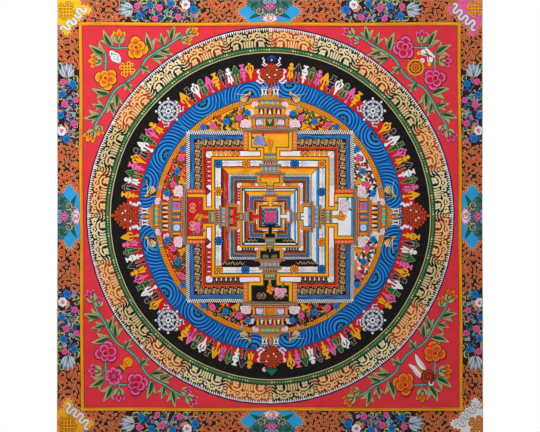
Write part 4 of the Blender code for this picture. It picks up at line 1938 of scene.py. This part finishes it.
def lobes(brush, edge, lift):
    """Round vermilion lobes along the edge of a patch."""
    path = smooth_path(edge, 3)
    for place in path[1::2]:
        brush.discs(place, (1.85, 1.45), ("buff", "vermilion"), lift, 9)
        brush.disc(place + 0.3, 0.55, "minium", lift + 2, 7)


def white_flower(brush, lift):
    """A loose white flower with grey lines and a pink heart."""
    for i in range(7):
        petal = brush.at(3.6 * turned(51.4 * i), 51.4 * i)
        petal.discs(0, (2.5, 2.05), ("slate", "chalk"), lift, 9)
        petal.stroke([-1.6, 0.2j, 1.3], 0.45, "feather", lift + 2, "taper")
    for i in range(5):
        brush.disc(1.5 * turned(72 * i + 20), 1.15, ("pink", "blush")[i % 2], lift + 3, 7)
        brush.stroke([0, 2.4 * turned(72 * i + 50)], 0.45, "maroon", lift + 4, "taper")


def plume(brush, lift):
    """A grey feathery seed head that opens along +x, on a brown stick among small leaves."""
    for i in range(12):
        away = 8.6 if i % 2 else -8.6
        spot = brush.at(complex(2.6 * i - 13, away + 0.9 * (i % 3)), 150 * i + 40)
        spot.fill([1.14 * p - 0.4 for p in lens(6.0, 5.2)], "buff", lift - 5)
        spot.fill(lens(5.2, 3.7), "malachite", lift - 4)
    for i in (0, 2, 4, 6, 8, 1, 3, 5, 7):
        angle = 8 * (i - 4)
        reach = 19.0 - 0.42 * (i - 4) ** 2 - 3.4 * (i % 2)
        blade = brush.at(complex(0.6, 0.6 * (i - 4)), angle)
        blade.fill([p - 0.4 for p in lens(reach + 1, 3.8, 0.1 * (i - 4))], "slate", lift)
        blade.fill(lens(reach, 2.8, 0.1 * (i - 4)), "feather", lift + 1)
        blade.stroke([2, complex(0.6 * reach, 0.3), complex(0.9 * reach)], 0.8,
                     ("chalk", "slate")[i % 2], lift + 2, "taper")
    stick = [-6.5 - 1.2j, 2 - 0.4j, 10.5 + 0.6j]
    brush.stroke(stick, 2.1, "umber", lift + 3, "taper")
    brush.stroke([p + 0.3j for p in stick[:2]], 0.8, "tan", lift + 4)


def flower_stretch(side, start, end, rng):
    """Pink and blue flowers among small leaves, violet blooms and blue blades, on dark brown."""
    reach = end - start

    def shared(along, out, turn):
        return side.at(complex(end - along * reach, BORDER_IN + FLOWERS_DEEP * out), turn)

    leaves = round(reach / 5.6)
    for i in range(leaves):
        for row, y in enumerate((2.6, 12.6, 25.0)):
            x = start + reach * (i + 0.3 + 0.45 * (row % 2) + rng.uniform(-0.12, 0.12)) / leaves
            spot = side.at(complex(x, BORDER_IN + y + rng.uniform(-0.8, 0.8)),
                           rng.uniform(20, 160) + (180 if row == 0 else 0), 1, i % 2 > 0)
            if row == 1 and i % 3 == 0:
                spot.marks(FOLIAGE, "umber", 0.3, 2)
                continue
            spot.fill([1.12 * p - 0.4 for p in lens(6.2, 6.0)], "buff", 1)
            spot.fill(lens(5.4, 4.2), "malachite", 2)
            spot.stroke([0.5, 4.4], 0.45, "teal", 3, "taper")
    for i in range(round(reach / 4.6)):
        for row in range(3):
            place = complex(start + 2 + 4.6 * (i + 0.5 * (row % 2)), BORDER_IN + 7.4 + 5.4 * row)
            if rng.random() < 0.42:
                blade = side.at(place - 1, rng.uniform(0, 360))
                blade.fill(lens(6.4, 3.6), "navy", 2)
                blade.stroke([0.8, 5.4], 0.5, "azure", 3, "taper")
                continue
            tuft = side.at(place + complex(rng.uniform(-1, 1), rng.uniform(-1, 1)),
                           rng.uniform(0, 360))
            tones = ("slate", "feather") if rng.random() < 0.3 else ("maroon", "mauve")
            for j in range(4):
                tuft.discs(1.5 * turned(90 * j), (1.25, 1.02), tones, 2, 7)
            tuft.disc(0, 0.5, "slate", 4, 6)
    for along, out in TWIGS_AT:
        twig = shared(along, out, 300 * along)
        twig.stroke([-4 - 1j, 0.8j, 4 - 0.6j], 1.3, "maroon", 4, "swell")
    for along, out in BLADES_AT:
        for i in range(4):
            blade = shared(along, out, 500 * along + 90 * i)
            blade.fill(lens(8.4, 4.6), "navy", 4)
            blade.stroke([1.0, 7.4], 0.7, "bluet", 4.5, "taper")
            blade.stroke([1.5 + 1.3j, 6.4 + 0.9j], 0.4, "feather", 4.6, "taper")
    for along, out in PETALS_AT:
        shared(along, out, 40 - 110 * along).marks(CURLED_PETAL, "maroon", 0.3, 5)
    white_flower(side.at(complex(end - 0.8 * reach, BORDER_IN + 20.5)), 6)
    for along, out, size, kind in BLOOMS:
        blossom(shared(along, out, 400 * along), size, *BLOOM_PAINTS[kind], lift=12)


def frond(brush, reach, width, bend, lift):
    """A green frond with a dark edge line and a midrib."""
    brush.mark("blade", "umber", lift, 0.4, (0, 0, 0, reach, width, bend))
    brush.fill(lens(reach, width, bend), "malachite", lift + 1)
    rib = [complex(reach * s, bend * math.sin(math.pi * s)) for s in (0.05, 0.3, 0.6, 0.88)]
    brush.stroke(rib, width * 0.14, "teal", lift + 2, "taper")


def sky_patch(side):
    """A patch of sky at the middle of a side, and on it a lotus in scaly green fronds."""
    rows = []
    for place in smooth_path(SKY_EDGE, 4):
        y = BORDER_IN + place.imag
        rows.append([complex(place.real * s, y) for s in (-1, -0.7, -0.35, 0, 0.35, 0.7, 1)])
    side.grid(rows, "sky", 4)
    for part in side.hands():
        lobes(part.at(1j * BORDER_IN), SKY_EDGE, 5)
        mass = part.at(1j * BORDER_IN)
        mass.grid([spread((0, 8, 11, 8.5, 15, 11)), spread((0, 16, 12, 17, 22, 17.5)),
                   spread((0, 22, 14, 23, 26, 22.5)), spread((0, 29, 14, 29, 26.5, 29))],
                  "navy", 8)
        for row in range(10):
            for i in range(11):
                x, y = 1.2 + 2.5 * i + 1.2 * (row % 2), 8.5 + 2.2 * row
                if x > 12 + 1.15 * (y - 8) or x > 27:
                    continue
                scale = mass.at(complex(x, y))
                scale.disc(0, 1.2, ("slate", "teal")[(i + row) % 2], 9, 7)
                scale.disc(0.3 - 0.2j, 0.6, ("teal", "malachite", "navy")[(2 * i + row) % 3], 10,
                           6)
        for x, y, angle, reach in ((11, 10, -24, 14.5), (9, 8, 4, 9.5), (15, 22, -32, 9)):
            frond(mass.at(complex(x, y), angle), reach, 3.4, 0.8, 11)
        for x, y, size, start in ((12.5, 13.4, 4.3, 150), (8.6, 6.8, 4.0, 60)):
            mass.stroke(coil(complex(x, y), size, start, 1.0, 14, 0.35), 2.5, "umber", 12)
            mass.stroke(coil(complex(x, y), size, start, 1.0, 14, 0.35), 1.9, "buff", 13)
            mass.stroke(coil(complex(x, y), 0.86 * size, start, 1.0, 14, 0.35), 1.0,
                        "malachite", 14)
            mass.disc(complex(x, y), 0.8, "pink", 15, 7)
    seat = side.at(1j * BORDER_IN)
    for i in range(9):
        petal = seat.at(0.4j, 90 + 17 * (i - 4))
        petal.fill(lens(11.5, 3.6), "mauve", 16)
        petal.fill(lens(10.5, 2.6), "chalk" if i % 2 else "blush", 17)
    seat.discs(5j, (3.9, 3.2), ("maroon", "blush"), 18, 12)
    seat.disc(-1.3 + 5.2j, 1.5, "orange", 20)
    seat.disc(1.4 + 4.8j, 1.3, "chalk", 20)
    for i in range(5):
        petal = seat.at(15.5j, 90 + 34 * (i - 2))
        petal.fill([1.1 * p - 0.5 for p in lens(7.4, 4.0)], "maroon", 18)
        petal.fill(lens(7.4, 3.6), "pink", 19)
        petal.fill([1.2 + p for p in lens(4.4, 1.6)], ("rose", "mauve")[i % 2], 20)
    seat.disc(14.2j, 2.3, "teal", 21)
    seat.disc(14.2j, 1.1, "scarlet", 22, 8)
    for x in (-5.6, 0, 5.6):
        seat.discs(complex(x, 23.8), (4.4, 3.6, 2.2, 1.1), ("navy", "slate", "feather", "azure"),
                   16, 12)


class PaintBorder(bpy.types.Operator):
    """Paint the border's scrollwork, flowers, plumes and patches of sky"""

    bl_idname = "hanging.border"
    bl_label = "Border"

    def execute(self, context):
        rng = random.Random(3)
        coats = [Coat(name) for name in ("border_scrolls", "border_flowers", "border_skies")]
        sides = zip(*(border_brush(coat, 1).sides() for coat in coats))
        for scrolls, flowers, skies in sides:
            for part, blooms in zip(scrolls.hands(), flowers.hands()):
                scroll_stretch(part, SKY_REACH - 10, FLOWERS_FROM - 3, rng)
                scroll_stretch(part, PLUME_AT + 16, BORDER_IN + 4, rng)
                flower_stretch(blooms, FLOWERS_FROM, FLOWERS_TO, rng)
                plume(blooms.at(complex(PLUME_AT, BORDER_IN + 15)), 7)
            sky_patch(skies)
        for coat in coats:
            coat.lay_down()
        return {"FINISHED"}


KNOT_SIZE = 12.6
# Clockwise from the top right: the patch's ground, the knot's place, line and edge and how
# wide they are as shares of it, and the ribbon's shade
CORNERS = (
    ("pink", 10.4 + 11.4j, "saffron", "rust", (0.19, 0.13), "feather"),
    ("chalk", 11.4 + 10.4j, "orange", "umber", (0.2, 0.125), "slate"),
    ("saffron", 12 + 12j, "saffron", "rust", (0.22, 0.1), "feather"),
    ("yellow", 13.6 + 12.4j, "yellow", "rust", (0.22, 0.1), "feather"),
)


def corner_ribbon(brush, shade, lift):
    """A white silk ribbon that lies in loops across a corner patch."""
    start, along, path = 37.4 + 8.6j, turned(137), []
    for i in range(8):
        side = 1j * along * (-1) ** i
        middle = start + 4.7 * (i + 0.5) * along + (2.6, 1.2)[i % 3 > 0] * side
        path += [middle + 2.35 * (side * math.sin(t) - along * math.cos(t))
                 for t in (math.pi * j / 8 for j in range(9))]
    brush.stroke(path, 3.2, "slate", lift)
    brush.stroke(path, 2.7, shade, lift + 1)
    brush.stroke([p + 0.2 for p in path], 1.9, "chalk", lift + 2)


class PaintCorners(bpy.types.Operator):
    """Paint the coloured patch in each corner of the border with its knot and ribbon"""

    bl_idname = "hanging.corners"
    bl_label = "Corner patches"

    def execute(self, context):
        coat = Coat("corner_patches")
        brush = border_brush(coat, 6)
        for index, (ground, place, line, edge, widths, shade) in enumerate(CORNERS):
            # x runs in from the side edge and y from the top or bottom edge
            corner = brush.at(turn=-90 * index).at((BORDER_OUT - 2) * (1 + 1j), 180)
            half = smooth_path([1.06 * p for p in CORNER_EDGE], 3)
            other = [complex(p.imag, p.real) for p in half]
            corner.grid([[s * p for s in (0, 0.35, 0.7, 1)] for p in (*half, *other[-2::-1])],
                        ground, 0)
            for edge_line in (CORNER_EDGE, [complex(p.imag, p.real) for p in CORNER_EDGE]):
                lobes(corner, [1.07 * p for p in edge_line], 1)
            corner_ribbon(corner, shade, 4)
            endless_knot(corner.at(place), KNOT_SIZE, line, edge, 10, widths)
        coat.lay_down()
        return {"FINISHED"}


# ---------------------------------------------------------------- stage

# How far the floor lies below the sheet and reaches to each side, in metres
FLOOR_DROP = 0.30
FLOOR_REACH = 1.3
FLOOR_COLOUR = "#E9E7E4"
# Lamps: place in metres, power in watts, size in metres and spread in degrees
LAMPS = (
    ("key", (-0.2, -0.74, 0.09), 6.2, 0.4, 180),
    ("overhead", (0.0, 0.0, 1.3), 18, 2.6, 30),
    ("back", (0.6, 1.8, 0.8), 26, 1.5, 180),
)
# Strength of the room where it lights the painting, and where it is seen
ROOM_LIGHT = 0.08
ROOM_SEEN = 1.0
# The camera's lens in millimetres, what it frames from side to side at the sheet, and how
# far its eye is off the sheet's middle, across and up, both in metres
LENS = 100
SEEN_WIDTH = 0.635
EYE_OFF = (0.0001, 0.0009)


class SetStage(bpy.types.Operator):
    """Set the pale floor, the soft lights and the camera that faces the painting"""

    bl_idname = "hanging.stage"
    bl_label = "Stage"

    def execute(self, context):
        scene = context.scene
        floor = bpy.data.meshes.new("floor")
        low = -sizes().height - FLOOR_DROP
        corners = [(FLOOR_REACH * x, FLOOR_REACH * y, low)
                   for x, y in ((-1, -1), (1, -1), (1, 1), (-1, 1))]
        floor.from_pydata(corners, [], [(0, 1, 2, 3)])
        material, _, shader = new_material("floor_paint")
        shader.inputs["Base Color"].default_value = (*linear(FLOOR_COLOUR), 1)
        shader.inputs["Roughness"].default_value = 0.9
        floor.materials.append(material)
        stage = bpy.data.objects.new("floor", floor)
        stage.visible_diffuse = False  # so that it throws no light up at the painting
        scene.collection.objects.link(stage)
        middle = Vector((0, 0, -sizes().height / 2))
        for name, place, power, size, fan in LAMPS:
            light = bpy.data.lights.new(name, "AREA")
            light.energy, light.size, light.spread = power, size, math.radians(fan)
            lamp = bpy.data.objects.new(name, light)
            lamp.location = place
            lamp.rotation_euler = (middle - Vector(place)).to_track_quat("-Z", "Y").to_euler()
            scene.collection.objects.link(lamp)
        self.light_room(scene)
        self.place_camera(scene, middle)
        scene.view_settings.view_transform = "Standard"
        return {"FINISHED"}

    def light_room(self, scene):
        """An even pale room, much brighter where it is seen than where it lights."""
        world = bpy.data.worlds.new("pale_room")
        scene.world = world
        world.use_nodes = True
        tree = world.node_tree
        background = tree.nodes["Background"]
        background.inputs["Color"].default_value = (1, 1, 1, 1)
        seen = add_node(tree, "ShaderNodeLightPath").outputs["Is Camera Ray"]
        strength = add_node(
            tree, "ShaderNodeMapRange", [("Value", seen)], To_Min=ROOM_LIGHT, To_Max=ROOM_SEEN
        )
        tree.links.new(strength.outputs[0], background.inputs["Strength"])

    def place_camera(self, scene, middle):
        """A long lens square on to the face, framed as the picture is."""
        camera = bpy.data.cameras.new("camera")
        camera.lens = LENS
        distance = SEEN_WIDTH * LENS / camera.sensor_width
        eye = bpy.data.objects.new("camera", camera)
        eye.location = (EYE_OFF[0], -distance, middle.z + EYE_OFF[1])
        eye.rotation_euler = (math.pi / 2, 0, 0)
        scene.collection.objects.link(eye)
        scene.camera = eye


# ---------------------------------------------------------------- panel and order of work

STEPS = (LayCanvas, PaintField, PaintSprays, PaintScrollRing, PaintGreenRing, PaintJewelRing,
         PaintWheels, PaintWater, PaintRopeAndFlowers, PaintPalaces, PaintGates, PaintHeart,
         PaintBorder, PaintCorners, SetStage)


class HangingPanel(bpy.types.Panel):
    """Lists the steps of the painting in the sidebar"""

    bl_idname = "VIEW3D_PT_hanging"
    bl_label = "Painted hanging"
    bl_space_type = "VIEW_3D"
    bl_region_type = "UI"
    bl_category = "Hanging"

    def draw(self, context):
        for owner in (context.scene.hanging_sizes, context.scene.hanging_pigments):
            for name in owner.bl_rna.properties.keys():
                if name not in ("rna_type", "name"):
                    self.layout.prop(owner, name)
        for step in STEPS:
            self.layout.operator(step.bl_idname)


CLASSES = (HangingSizes, HangingPigments, *STEPS, HangingPanel)


def register():
    """Add the sizes, colours, steps and panel to Blender."""
    for cls in CLASSES:
        bpy.utils.register_class(cls)
    bpy.types.Scene.hanging_sizes = PointerProperty(type=HangingSizes)
    bpy.types.Scene.hanging_pigments = PointerProperty(type=HangingPigments)


def unregister():
    """Take them out again."""
    del bpy.types.Scene.hanging_pigments
    del bpy.types.Scene.hanging_sizes
    for cls in reversed(CLASSES):
        bpy.utils.unregister_class(cls)


def main():
    """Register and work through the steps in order."""
    register()
    for step in STEPS:
        group, name = step.bl_idname.split(".")
        getattr(getattr(bpy.ops, group), name)()


if __name__ == "__main__":
    main()
